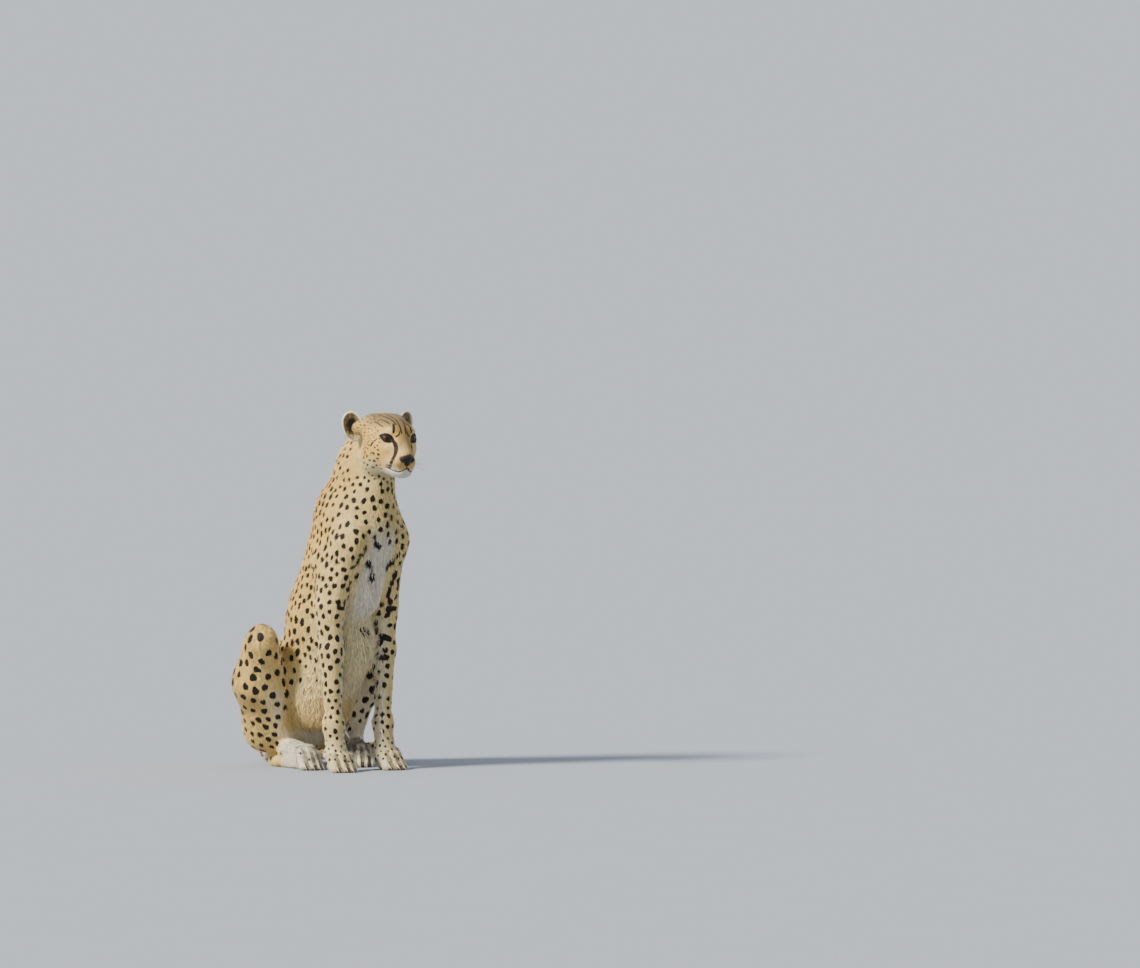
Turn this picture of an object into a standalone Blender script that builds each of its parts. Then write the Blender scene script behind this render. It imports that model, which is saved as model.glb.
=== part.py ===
"""A life-size sitting cheetah as solids: flesh nodes, ears, eyes, nose and claws.

The animal faces -Y and rests on z = 0.  Its flesh is one smooth union of tapered round masses
laid along the skeleton.  The union is meshed, pulled onto the exact surface, thinned, given
flats where it meets the floor and parted into named nodes with 0.3 mm between neighbours.
"""
import math

import bmesh
import bpy
import numpy as np

for thing in list(bpy.data.objects):
    bpy.data.objects.remove(thing, do_unlink=True)

GAP = 0.0003            # clearance between neighbouring nodes
VOXEL = 0.0055          # first mesh of the union
FLESH_TRIANGLES = 4400  # after thinning
KEEP_FINE = 0.025       # how much dearer it is to thin the face and the feet
EYE_RADIUS = 0.0165
SIDES = {"right": -1, "left": 1}


def at(forward, left, up):
    """A point given the way the animal faces."""
    return np.array((left, -forward, up), float)


# ---------------------------------------------------------------- masses and their union
class Mass:
    """A tapered capsule or an ellipsoid; warp maps space to where it is round."""

    def __init__(self, start, end, r0, r1, blend, warp=None):
        self.start, end = np.asarray(start, float), np.asarray(end, float)
        self.warp = np.eye(3) if warp is None else warp
        self.back = np.linalg.inv(self.warp)
        self.axis = self.warp @ (end - self.start)
        self.r0, self.r1, self.blend = r0, r1, blend
        self.length2 = max(float(self.axis @ self.axis), 1e-12)
        self.centre = (self.start + end) / 2
        widest = max(r0, r1) * np.linalg.norm(self.back, 2)
        self.reach = np.linalg.norm(end - self.start) / 2 + widest

    def distance(self, p):
        q = (p - self.start) @ self.warp.T
        t = np.clip(q @ self.axis / self.length2, 0, 1)
        away = q - t[:, None] * self.axis
        return np.sqrt((away * away).sum(1)) - (self.r0 + t * (self.r1 - self.r0))

    def hull(self):
        """The mass as a rough convex mesh."""
        bm = bmesh.new()
        for centre, radius in ((0 * self.axis, self.r0), (self.axis, self.r1)):
            for v in bmesh.ops.create_icosphere(bm, subdivisions=2, radius=radius)["verts"]:
                v.co = self.start + self.back @ (np.array(v.co) + centre)
        inner = bmesh.ops.convex_hull(bm, input=bm.verts)["geom_interior"]
        bmesh.ops.delete(bm, geom=[g for g in inner if isinstance(g, bmesh.types.BMVert)])
        mesh = bpy.data.meshes.new("hull")
        bm.to_mesh(mesh)
        bm.free()
        return mesh


def limb(a, b, r0, r1, blend=0.02, wide=1.0, across=(1, 0, 0)):
    """A capsule from a to b, its girth times `wide` along `across`."""
    n = np.asarray(across, float) / np.linalg.norm(across)
    return Mass(a, b, r0, r1, blend, np.eye(3) + (1 / wide - 1) * np.outer(n, n))


def ball(centre, radii, blend=0.02, frame=None):
    """An ellipsoid with radii to the left, forward and up of frame."""
    frame = np.eye(3) if frame is None else frame
    r = float(np.prod(radii)) ** (1 / 3)
    return Mass(centre, centre, r, r, blend, np.diag(r / np.array(radii)) @ frame.T)


def smooth_min(a, b, k):
    h = np.maximum(k - np.abs(a - b), 0) / k
    return np.minimum(a, b) - h * h * k / 4


def distance_to(groups, dents, p):
    """Signed distance to the smooth union of groups less the dents, near the surface."""
    total = np.full(len(p), 0.5)
    for masses, k in groups:
        group = np.full(len(p), 0.5)
        for m in masses:
            near = ((p - m.centre) ** 2).sum(1) < (m.reach + m.blend + 0.03) ** 2
            group[near] = smooth_min(group[near], m.distance(p[near]), m.blend)
        total = smooth_min(total, group, k)
    for m in dents:
        near = ((p - m.centre) ** 2).sum(1) < (m.reach + m.blend + 0.02) ** 2
        total[near] = -smooth_min(-total[near], m.distance(p[near]), m.blend)
    return total


def settle(p, times=2):
    """Move points onto the surface of the animal."""
    step = 2e-4
    for _ in range(times):
        here = animal(p)
        slope = np.stack([(animal(p + np.eye(3)[i] * step) - here) / step for i in range(3)], 1)
        move = (here / np.maximum((slope * slope).sum(1), 0.05))[:, None] * slope
        far = np.linalg.norm(move, axis=1)
        p = p - move * np.minimum(1, 0.006 / np.maximum(far, 1e-9))[:, None]
    return p


def relax(p, edges, times=2):
    """Even out the spacing of points joined by edges."""
    n = len(p)
    count = np.bincount(edges.ravel(), minlength=n)[:, None]
    for _ in range(times):
        total = np.stack([np.bincount(edges[:, 0], p[edges[:, 1], k], n)
                          + np.bincount(edges[:, 1], p[edges[:, 0], k], n) for k in range(3)], 1)
        p = (p + total / count) / 2
    return p


# ---------------------------------------------------------------- the head's own frame
def turned(yaw, pitch):
    """Columns left, back, up; turned left by yaw and nose up by pitch."""
    c, s = math.cos(yaw), math.sin(yaw)
    about_up = np.array(((c, -s, 0), (s, c, 0), (0, 0, 1)))
    c, s = math.cos(pitch), math.sin(pitch)
    return about_up @ np.array(((1, 0, 0), (0, c, s), (0, -s, c)))


HEAD_AT = at(0.168, -0.016, 0.826)      # midway between the eyes
HEAD = turned(math.radians(-8), math.radians(-3))


def on_head(forward, left, up):
    return HEAD_AT + HEAD @ np.array((left, -forward, up))


def head_ball(forward, left, up, radii, blend=0.02):
    return ball(on_head(forward, left, up), radii, blend, HEAD)


def head_limb(a, b, r0, r1, blend=0.02, wide=1.0):
    return limb(on_head(*a), on_head(*b), r0, r1, blend, wide, HEAD[:, 0])


# ---------------------------------------------------------------- where the flesh lies
def trunk_masses():
    return [
        limb(at(-0.047, 0, 0.590), at(-0.134, 0, 0.385), 0.112, 0.112, 0.03, 0.80),    # ribcage
        limb(at(0.030, 0, 0.590), at(-0.008, 0, 0.440), 0.062, 0.055, 0.05, 0.85),     # breast
        limb(at(-0.134, 0, 0.380), at(-0.216, 0, 0.240), 0.108, 0.097, 0.05, 0.84),    # loin
        limb(at(-0.217, 0, 0.235), at(-0.268, 0, 0.130), 0.094, 0.080, 0.05),          # pelvis
        ball(at(-0.285, 0, 0.066), (0.078, 0.060, 0.070), 0.04),                       # rump
        limb(at(-0.050, 0, 0.310), at(-0.145, 0, 0.170), 0.066, 0.072, 0.05),          # belly
        limb(at(-0.022, 0, 0.640), at(0.012, 0, 0.760), 0.094, 0.066, 0.05, 0.82),     # neck
        limb(at(-0.054, 0, 0.680), at(-0.016, 0, 0.765), 0.054, 0.037, 0.05),          # mane
        limb(at(0.038, 0, 0.640), at(0.070, -0.005, 0.745), 0.058, 0.040, 0.05, 0.95),  # throat
        limb(at(0.012, 0, 0.750), at(0.050, 0, 0.810), 0.064, 0.054, 0.04, 0.9),       # nape
    ]


def head_masses():
    middle = [
        head_ball(-0.060, 0, 0.003, (0.058, 0.070, 0.0545)),                       # braincase
        head_ball(-0.012, 0, 0.010, (0.034, 0.034, 0.028), 0.03),                  # forehead
        head_ball(-0.018, 0, -0.036, (0.044, 0.046, 0.038), 0.03),                 # face
        head_limb((0.000, 0, -0.002), (0.038, 0, -0.040), 0.0185, 0.0140, 0.02, 0.95),  # bridge
        head_limb((-0.004, 0, -0.042), (0.024, 0, -0.056), 0.036, 0.025, 0.02, 1.05),   # muzzle
        head_limb((-0.034, 0, -0.068), (0.022, 0, -0.084), 0.027, 0.0150, 0.02, 1.1),   # jaw
        head_ball(0.0445, 0, -0.0515, (0.0165, 0.0090, 0.0110), 0.008),            # nose root
    ]
    for s in SIDES.values():
        middle += [
            head_ball(-0.042, s * 0.032, -0.034, (0.026, 0.042, 0.036), 0.025),    # cheek
            head_ball(-0.070, s * 0.034, -0.054, (0.024, 0.038, 0.036), 0.025),    # ruff
            head_limb((0.008, s * 0.022, 0.016), (-0.016, s * 0.042, 0.012), 0.0095, 0.012, 0.012),
            head_ball(0.025, s * 0.0150, -0.060, (0.0165, 0.0190, 0.0160), 0.010),  # whisker pad
            head_ball(0.017, s * 0.0115, -0.082, (0.0145, 0.0170, 0.0140), 0.016),  # chin
            head_ball(-0.002, s * 0.0210, -0.066, (0.0160, 0.0240, 0.0200), 0.020),  # lip corner
            head_limb((0.004, s * 0.032, -0.024), (-0.036, s * 0.048, -0.018), 0.010, 0.012, 0.015),
            head_limb((-0.074, s * 0.036, 0.0315), (-0.094, s * 0.061, 0.018), 0.0205, 0.0165, 0.025),
        ]
    return middle


def foreleg_masses(s):
    scapula, shoulder = at(-0.058, s * 0.046, 0.645), at(0.030, s * 0.062, 0.572)
    elbow, wrist = at(-0.022, s * 0.084, 0.410), at(-0.016, s * 0.077, 0.115)
    middle, foot = at(-0.018, s * 0.081, 0.300), at(-0.006, s * 0.076, 0)
    upper = [limb(at(0.010, s * 0.022, 0.690), shoulder, 0.050, 0.046, 0.04, 0.75),
             limb(scapula, shoulder, 0.044, 0.048, 0.035, 0.66),
             limb(shoulder, elbow, 0.050, 0.038, 0.03, 0.76),
             limb(at(-0.030, s * 0.078, 0.520), elbow, 0.052, 0.036, 0.03, 0.60)]
    lower = [limb(elbow, middle, 0.040, 0.0315, 0.02, 0.86),
             limb(middle, wrist, 0.0315, 0.0215, 0.02, 0.94),
             limb(at(-0.045, s * 0.084, 0.420), at(-0.022, s * 0.084, 0.380), 0.020, 0.026, 0.02),
             ball(wrist, (0.0245, 0.0255, 0.029), 0.02),
             limb(wrist, foot + (0, 0, 0.045), 0.0225, 0.026, 0.015, 1.1)]
    return upper, lower + paw(FORE[s])


# Hind legs: the left one is drawn further out and its foot turned in.
HIND = {
    -1: dict(hip=at(-0.285, -0.062, 0.135), knee=at(-0.185, -0.172, 0.318),
             ankle=at(-0.238, -0.063, 0.072), heel=at(-0.290, -0.055, 0.018),
             seat=at(-0.298, -0.078, 0.095), thigh=at(-0.257, -0.137, 0.215),
             above=at(-0.214, -0.160, 0.300)),
    1: dict(hip=at(-0.272, 0.065, 0.135), knee=at(-0.176, 0.172, 0.318),
            ankle=at(-0.222, 0.143, 0.072), heel=at(-0.266, 0.166, 0.018),
            seat=at(-0.244, 0.120, 0.122), thigh=at(-0.197, 0.165, 0.220),
            above=at(-0.186, 0.168, 0.295)),
}


def aim(base, toward):
    """Foot frame: the ground point, forward and left."""
    ahead = (toward - base) * (1, 1, 0)
    ahead /= np.linalg.norm(ahead)
    return base * (1, 1, 0), ahead, np.array((-ahead[1], ahead[0], 0.0))


def foot_frame(ankle, toes):
    base, ahead, left = aim(ankle, toes)
    return toes * (1, 1, 0) - ahead * 0.040, ahead, left, 0.92


TOES = {-1: at(-0.092, -0.085, 0), 1: at(-0.105, 0.080, 0)}
FORE = {s: aim(at(-0.006, s * 0.076, 0), at(0.094, s * (0.076 + 0.007), 0)) + (1.0,)
        for s in (-1, 1)}
BACK = {s: foot_frame(HIND[s]["ankle"], TOES[s]) for s in (-1, 1)}
UP = np.array((0, 0, 1.0))
SPREAD = ((-1.5, -0.011), (-0.5, 0.0), (0.5, 0.0), (1.5, -0.011))   # toes: place across, advance


def paw(frame):
    base, ahead, left, size = frame
    toes = []
    for across, advance in SPREAD:
        root = base + ahead * advance * 0.4 + left * across * 0.0120 * size + UP * 0.044
        knuckle = base + ahead * (0.027 + advance) + left * across * 0.0160 * size + UP * 0.035
        tip = base + ahead * (0.046 + advance) + left * across * 0.0178 * size + UP * 0.0105
        toes += [limb(root, knuckle, 0.0140 * size, 0.0132 * size, 0.010),
                 limb(knuckle, tip, 0.0128 * size, 0.0122 * size, 0.005)]
    pad = ball(base + ahead * 0.006 + UP * 0.017, (0.027 * size, 0.026, 0.019), 0.010,
               np.stack((left, -ahead, UP), 1))
    return toes + [pad]


def hindleg_masses(s):
    leg, outward = HIND[s], (s * 0.8, 0.6, 0)
    shin = (leg["knee"] + leg["ankle"]) / 2
    calf = leg["knee"] * 0.45 + shin * 0.55 + at(-0.02, 0, 0)
    base = BACK[s][0]
    upper = [limb(leg["hip"], leg["knee"], 0.080, 0.044, 0.03, 0.80, outward),
             limb(leg["hip"] - UP * 0.03, leg["seat"], 0.060, 0.052, 0.04),
             limb(leg["seat"], leg["thigh"], 0.052, 0.060 if s < 0 else 0.055, 0.03, 0.95, outward),
             limb(leg["thigh"], leg["above"], 0.060 if s < 0 else 0.055, 0.047, 0.03, 0.92, outward)]
    lower = [limb(leg["knee"], shin, 0.043, 0.034, 0.02, 0.9, outward),
             limb(shin, leg["ankle"], 0.034, 0.024),
             limb(calf, leg["heel"] + UP * 0.02, 0.030, 0.015),
             limb(leg["ankle"] - UP * 0.018, base + UP * 0.040, 0.026, 0.024, 0.015, 1.05),
             limb(leg["heel"], base + UP * 0.019, 0.0195, 0.0205, 0.015, 1.1)]
    return upper, lower + paw(BACK[s])


TAIL_PATH = ((-0.330, 0.000, 0.085), (-0.385, 0.012, 0.050), (-0.430, 0.035, 0.030),
             (-0.462, 0.068, 0.0265), (-0.468, 0.130, 0.0255), (-0.438, 0.195, 0.0245),
             (-0.380, 0.245, 0.0237), (-0.305, 0.268, 0.0230), (-0.235, 0.262, 0.0223),
             (-0.180, 0.230, 0.0218))


def tail_masses():
    points = [at(*q) for q in TAIL_PATH]
    radius = np.linspace(0.030, 0.0232, len(points))
    return [limb(points[i], points[i + 1], radius[i], radius[i + 1], 0.01)
            for i in range(len(points) - 1)]


GROUPS = [(trunk_masses() + head_masses(), 0.02)]
for side in SIDES.values():
    arm, forearm = foreleg_masses(side)
    thigh, shank = hindleg_masses(side)
    GROUPS += [(arm, 0.035), (forearm, 0.015), (thigh, 0.02), (shank, 0.012)]
GROUPS.append((tail_masses(), 0.02))


def eye_centre(s):
    return on_head(-0.0055, s * 0.0315, -0.0045)


def socket(s):
    """The almond opening before an eye, its outer corner raised."""
    c, w = math.cos(math.radians(24)), s * math.sin(math.radians(24))
    frame = HEAD @ np.array(((c, 0, -w), (0, 1, 0), (w, 0, c)))
    return ball(on_head(0.016, s * 0.0365, -0.0045), (0.0150, 0.0130, 0.0090), 0.010, frame)


DENTS = [socket(s) for s in SIDES.values()]


def animal(p):
    return distance_to(GROUPS, DENTS, p)


# ---------------------------------------------------------------- mesh helpers
def points_of(mesh):
    p = np.empty(len(mesh.vertices) * 3)
    mesh.vertices.foreach_get("co", p)
    return p.reshape(-1, 3)


def edges_of(mesh):
    e = np.empty(len(mesh.edges) * 2, np.int64)
    mesh.edges.foreach_get("vertices", e)
    return e.reshape(-1, 2)


def place(mesh, p):
    mesh.vertices.foreach_set("co", np.ascontiguousarray(p, float).ravel())
    mesh.update()


def new_object(name, mesh):
    thing = bpy.data.objects.new(name, mesh)
    bpy.context.scene.collection.objects.link(thing)
    return thing


def apply_modifiers(thing):
    """Bake the object's modifiers into its mesh."""
    bpy.context.view_layer.update()
    graph = bpy.context.evaluated_depsgraph_get()
    mesh = bpy.data.meshes.new_from_object(thing.evaluated_get(graph))
    thing.modifiers.clear()
    thing.data = mesh


def combine(thing, other, operation):
    """Boolean thing with other, in place."""
    mod = thing.modifiers.new("cut", "BOOLEAN")
    mod.object, mod.operation, mod.solver = other, operation, "EXACT"
    apply_modifiers(thing)


def discard(thing):
    bpy.data.objects.remove(thing, do_unlink=True)


def from_bmesh(name, bm):
    mesh = bpy.data.meshes.new(name)
    bm.to_mesh(mesh)
    bm.free()
    return new_object(name, mesh)


def copy_of(thing, name):
    return new_object(name, thing.data.copy())


# ---------------------------------------------------------------- the flesh in one piece
def remesh(thing):
    mod = thing.modifiers.new("skin", "REMESH")
    mod.mode, mod.voxel_size = "VOXEL", VOXEL
    apply_modifiers(thing)


def flesh():
    bm = bmesh.new()
    for masses, _ in GROUPS:
        for m in masses:
            bm.from_mesh(m.hull())
    body = from_bmesh("flesh", bm)
    remesh(body)
    p, edges = points_of(body.data), edges_of(body.data)
    for _ in range(2):
        p = relax(settle(p), edges)
    place(body.data, settle(p))
    remesh(body)        # where two sides of a crease met, this leaves one clean skin
    p = points_of(body.data)
    # thin it most where it is plain: least on the head and the feet
    keep = body.vertex_groups.new(name="thin")
    face = (p[:, 2] > 0.715) & (p[:, 1] < -0.09)
    feet = (p[:, 2] < 0.07) & (p[:, 1] < 0.16)
    for chosen, weight in ((~(face | feet), 1.0), (feet, 0.6), (face, 0.5)):
        keep.add(np.flatnonzero(chosen).tolist(), weight, "REPLACE")
    mod = body.modifiers.new("thin", "DECIMATE")
    mod.ratio = FLESH_TRIANGLES / (2 * len(p))
    mod.vertex_group, mod.vertex_group_factor = "thin", KEEP_FINE
    mod.use_collapse_triangulate = True
    apply_modifiers(body)
    body.vertex_groups.clear()
    floor = block((-0.8, -0.6, -0.2), (0.6, 0.6, 0.0))
    combine(body, floor, "DIFFERENCE")
    discard(floor)
    return body


# ---------------------------------------------------------------- parting the flesh
def block(low, high, name="block"):
    """A box between two corners given as forward, left, up."""
    a, b = at(*low), at(*high)
    bm = bmesh.new()
    bmesh.ops.create_cube(bm, size=1)
    for v in bm.verts:
        v.co = (a + b) / 2 + np.array(v.co) * np.abs(b - a)
    return from_bmesh(name, bm)


def slab(point, normal, size=0.6):
    """A box whose lower face passes through point and looks against normal."""
    n = np.asarray(normal, float) / np.linalg.norm(normal)
    side = np.cross(n, (1.0, 0, 0))
    side /= np.linalg.norm(side)
    axes = np.stack((np.cross(side, n), side, n), 1)
    bm = bmesh.new()
    bmesh.ops.create_cube(bm, size=size)
    for v in bm.verts:
        v.co = point + axes @ (np.array(v.co) + (0, 0, size / 2))
    return from_bmesh("slab", bm)


def swollen(thing, by):
    """A copy of a convex cutter with its faces moved out by `by`."""
    other = copy_of(thing, "swollen")
    bm = bmesh.new()
    bm.from_mesh(other.data)
    moves = {v: sum((f.normal * by for f in v.link_faces), v.normal * 0) for v in bm.verts}
    for v, move in moves.items():
        v.co += move
    bm.to_mesh(other.data)
    bm.free()
    return other


def part_off(body, cutter, name):
    """Split what lies in cutter off body as a node, with the gap between them."""
    inner, outer = swollen(cutter, -GAP / 2), swollen(cutter, GAP / 2)
    node = copy_of(body, name)
    combine(node, inner, "INTERSECT")
    combine(body, outer, "DIFFERENCE")
    for thing in (inner, outer, cutter):
        discard(thing)
    return node


def tidy(thing):
    """Weld slivers left by the cuts and make the node plain triangles."""
    bm = bmesh.new()
    bm.from_mesh(thing.data)
    bmesh.ops.remove_doubles(bm, verts=bm.verts, dist=2e-5)
    bmesh.ops.triangulate(bm, faces=bm.faces)
    bmesh.ops.dissolve_degenerate(bm, edges=bm.edges, dist=2e-5)
    bmesh.ops.triangulate(bm, faces=[f for f in bm.faces if len(f.verts) > 3])
    bmesh.ops.delete(bm, geom=[e for e in bm.edges if not e.link_faces], context="EDGES")
    bmesh.ops.delete(bm, geom=[v for v in bm.verts if not v.link_faces], context="VERTS")
    bmesh.ops.recalc_face_normals(bm, faces=bm.faces)
    bm.to_mesh(thing.data)
    bm.free()


body = flesh()
NODES = []
NODES.append(part_off(body, slab(at(0.035, 0, 0.7675), at(0.42, 0, 0.907)), "head"))
NODES.append(part_off(body, slab(at(-0.020, 0, 0.670), at(0.25, 0, 0.968)), "neck"))
NODES.append(part_off(body, block((-0.340, 0.192, -0.1), (-0.10, 0.40, 0.062)), "tail_tip"))
NODES.append(part_off(body, block((-0.60, 0.130, -0.1), (-0.340, 0.40, 0.062)), "tail_middle"))
NODES.append(part_off(body, block((-0.60, -0.10, -0.1), (-0.366, 0.130, 0.12)), "tail_base"))
for side, s in SIDES.items():
    near, far = sorted((s * 0.030, s * 0.30))
    instep = HIND[s]["ankle"][1] * -1 + 0.033
    NODES.append(part_off(body, block((instep, near, -0.1), (-0.055, far, 0.084)),
                          f"hind_foot_{side}"))
    NODES.append(part_off(body, block((-0.055, near, -0.1), (0.30, far, 0.092)),
                          f"fore_foot_{side}"))
    NODES.append(part_off(body, block((-0.072, near, 0.092), (0.30, far, 0.300)),
                          f"forearm_{side}"))
    near, far = sorted((s * 0.052, s * 0.30))
    NODES.append(part_off(body, block((-0.080, near, 0.300), (0.30, far, 0.560)),
                          f"upper_arm_{side}"))
    near, far = sorted((s * 0.082, s * 0.40))
    NODES.append(part_off(body, block((-0.40, near, -0.1), (-0.095, far, 0.42)),
                          f"haunch_{side}"))
body.name = "trunk"
NODES.append(body)
by_name = {n.name: n for n in NODES}


# ---------------------------------------------------------------- eyes in their sockets
for side, s in SIDES.items():
    for name, radius in (("hole", EYE_RADIUS + GAP), (f"eye_{side}", EYE_RADIUS)):
        bm = bmesh.new()
        bmesh.ops.create_icosphere(bm, subdivisions=3, radius=radius)
        for v in bm.verts:
            v.co = eye_centre(s) + np.array(v.co)
        ball_object = from_bmesh(name, bm)
        if name == "hole":
            combine(by_name["head"], ball_object, "DIFFERENCE")
            discard(ball_object)
        else:
            NODES.append(ball_object)


# ---------------------------------------------------------------- parts that stand proud
def stand_proud(thing, host):
    """Keep only what of thing lies outside host, clear of it by the gap."""
    grown = copy_of(by_name[host], "grown")
    p = points_of(grown.data)
    normals = np.empty(len(p) * 3)
    grown.data.vertices.foreach_get("normal", normals)
    place(grown.data, p + normals.reshape(-1, 3) * GAP * 1.15)
    combine(thing, grown, "DIFFERENCE")
    discard(grown)
    NODES.append(thing)


EAR_RINGS, EAR_AROUND = 4, 18
EAR_WIDE, EAR_TALL, EAR_DEEP, EAR_THICK = 0.0245, 0.0380, 0.020, 0.0022
EARS = {-1: ((-0.0948, -0.0762, 0.0215), (-0.50, -0.85, 0.08), (-0.28, 0, 0.90)),   # place, facing, up
        1: ((-0.0948, 0.0745, 0.0240), (0.34, -0.93, 0.08), (0.34, 0, 0.90))}


def ear(side, s):
    """A cupped petal, its rim rounded and its foot buried in the head."""
    centre, facing, up = (np.array(q) for q in EARS[s])
    centre, facing, up = on_head(*centre), HEAD @ facing, HEAD @ up
    facing /= np.linalg.norm(facing)
    up -= facing * (up @ facing)
    up /= np.linalg.norm(up)
    across = np.cross(up, facing)

    def point(ring, step, face):
        r, turn = ring / EAR_RINGS, 2 * math.pi * step / EAR_AROUND
        x, y = r * math.cos(turn), r * math.sin(turn)
        depth = -EAR_DEEP * (1 - r * r) + face * EAR_THICK * (1.8 - r * r) * (ring < EAR_RINGS)
        return (centre + across * EAR_WIDE * x * (1 + 0.14 * math.sin(turn))
                + up * EAR_TALL * y + facing * depth)

    bm = bmesh.new()
    rim = [bm.verts.new(point(EAR_RINGS, j, 0)) for j in range(EAR_AROUND)]
    for face in (1, -1):
        rings = [[bm.verts.new(point(i, j, face)) for j in range(EAR_AROUND)]
                 for i in range(1, EAR_RINGS)] + [rim]
        middle = bm.verts.new(point(0, 0, face))
        for j in range(EAR_AROUND):
            k = (j + 1) % EAR_AROUND
            bm.faces.new((middle, rings[0][j], rings[0][k]))
            for inner, outer in zip(rings, rings[1:]):
                bm.faces.new((inner[j], outer[j], outer[k], inner[k]))
    bmesh.ops.recalc_face_normals(bm, faces=bm.faces)
    return from_bmesh(f"ear_{side}", bm)


def nose():
    """The leather: broad above, drawn in to the lip below."""
    bm = bmesh.new()
    bmesh.ops.create_icosphere(bm, subdivisions=2, radius=1)
    for v in bm.verts:
        x, y, z = v.co
        x *= 0.0200 * (0.84 + 0.24 * z)
        v.co = on_head(0.0470 - 0.0118 * y, x, -0.0525 + 0.0130 * z)
    return from_bmesh("nose", bm)


def claw(name, root, ahead, length=0.020, girth=0.0044):
    """A hooked cone from inside the toe, forward and down."""
    bm = bmesh.new()
    side = np.cross(ahead, UP)
    side /= np.linalg.norm(side)
    rings = []
    for t in (0.0, 0.5, 0.85):
        centre = root + ahead * length * t - UP * length * 0.55 * t * t
        r = girth * (1 - 0.75 * t)
        rings.append([bm.verts.new(centre + r * (side * 0.75 * math.cos(a) + UP * math.sin(a)))
                      for a in (math.radians(q) for q in range(30, 390, 72))])
    tip = bm.verts.new(root + ahead * length - UP * length * 0.62)
    for a, b in zip(rings, rings[1:]):
        for j in range(5):
            bm.faces.new((a[j], a[(j + 1) % 5], b[(j + 1) % 5], b[j]))
    for j in range(5):
        bm.faces.new((rings[-1][j], rings[-1][(j + 1) % 5], tip))
    bm.faces.new(rings[0][::-1])
    bmesh.ops.recalc_face_normals(bm, faces=bm.faces)
    return from_bmesh(name, bm)


def toe_claws(foot, side, frame):
    base, ahead, left, size = frame
    for i, (across, advance) in enumerate(SPREAD, 1):
        root = (base + ahead * (0.050 + advance) + left * across * 0.0180 * size + UP * 0.0125)
        stand_proud(claw(f"claw_{foot}_{side}_{i}", root, ahead), f"{foot}_foot_{side}")


for side, s in SIDES.items():
    stand_proud(ear(side, s), "head")
stand_proud(nose(), "head")
for side, s in SIDES.items():
    toe_claws("fore", side, FORE[s])
    toe_claws("hind", side, BACK[s])
    root = at(0.004, s * 0.0570, 0.098)
    stand_proud(claw(f"dewclaw_{side}", root, at(0.8, -s * 0.35, -0.45), 0.020, 0.0040),
                f"forearm_{side}")

# ---------------------------------------------------------------- finish
for node in NODES:
    tidy(node)

COLOURS = {"eye": (0.16, 0.07, 0.02), "nose": (0.015, 0.012, 0.012), "claw": (0.5, 0.45, 0.38),
           "dewclaw": (0.5, 0.45, 0.38), "ear": (0.28, 0.20, 0.12)}
COAT = (0.62, 0.43, 0.22)
for node in NODES:
    kind = node.name.split("_")[0]
    material = bpy.data.materials.new(node.name)
    material.use_nodes = True
    shader = material.node_tree.nodes["Principled BSDF"]
    shader.inputs["Base Color"].default_value = (*COLOURS.get(kind, COAT), 1)
    shader.inputs["Roughness"].default_value = 0.15 if kind == "eye" else 0.8
    node.data.materials.clear()
    node.data.materials.append(material)

corners = np.concatenate([points_of(n.data) for n in NODES])
low, high = corners.min(0), corners.max(0)
middle = np.array(((low[0] + high[0]) / 2, (low[1] + high[1]) / 2, low[2]))
for node in NODES:
    place(node.data, points_of(node.data) - middle)
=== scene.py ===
# %% [markdown]
# # A sitting cheetah
# The animal is drawn life-size. Its solids come in as a fixed frame: flesh in named nodes, ears,
# eyes, nose and claws. This script grows the skin, the coat, the markings and the face over them.

# %% The frame
import math

import bmesh
import bpy
import numpy as np
from mathutils.kdtree import KDTree
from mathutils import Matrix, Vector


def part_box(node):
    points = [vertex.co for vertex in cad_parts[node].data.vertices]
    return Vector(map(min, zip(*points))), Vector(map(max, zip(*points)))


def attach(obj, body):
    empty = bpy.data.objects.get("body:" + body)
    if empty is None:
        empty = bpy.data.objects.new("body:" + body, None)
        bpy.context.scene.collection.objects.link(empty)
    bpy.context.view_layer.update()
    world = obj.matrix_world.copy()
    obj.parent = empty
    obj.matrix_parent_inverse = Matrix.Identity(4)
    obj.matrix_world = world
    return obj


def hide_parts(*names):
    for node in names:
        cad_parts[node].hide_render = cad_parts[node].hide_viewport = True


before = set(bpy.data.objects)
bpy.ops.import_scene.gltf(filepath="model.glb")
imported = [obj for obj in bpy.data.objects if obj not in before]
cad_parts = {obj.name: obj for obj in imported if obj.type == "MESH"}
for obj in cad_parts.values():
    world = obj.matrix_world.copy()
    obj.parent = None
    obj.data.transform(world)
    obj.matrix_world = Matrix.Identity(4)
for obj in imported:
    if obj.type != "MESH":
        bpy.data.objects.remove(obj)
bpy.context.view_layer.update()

SIDES = {"right": -1, "left": 1}
RANDOM = np.random.default_rng(11)


# %% [markdown]
# ## Small helpers
# A mesh keeps its points in one long array that numpy can read and write at once.  That is far
# quicker than going vertex by vertex, which matters for a coat of two hundred thousand tufts.
# Modifiers are applied with the operator, as by hand.  Finishing a piece moves it from the
# animal's own coordinates, in which it faces -Y from a spine on x = 0, to those of the frame, gives
# it its material, hangs it on the body it rides on and hides the frame's parts that it stands for.

# %% Helpers
def read(items, what, width=1, kind=float):
    """One property of many mesh elements as an array, a row for each."""
    values = np.empty(len(items) * width, kind)
    items.foreach_get(what, values)
    return values.reshape(-1, width) if width > 1 else values


def points_of(mesh):
    return read(mesh.vertices, "co", 3)


def normals_of(mesh):
    return read(mesh.vertices, "normal", 3)


def edges_of(mesh):
    return read(mesh.edges, "vertices", 2, np.int64)


def place(mesh, p):
    mesh.vertices.foreach_set("co", np.ascontiguousarray(p, float).ravel())
    mesh.update()


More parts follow.
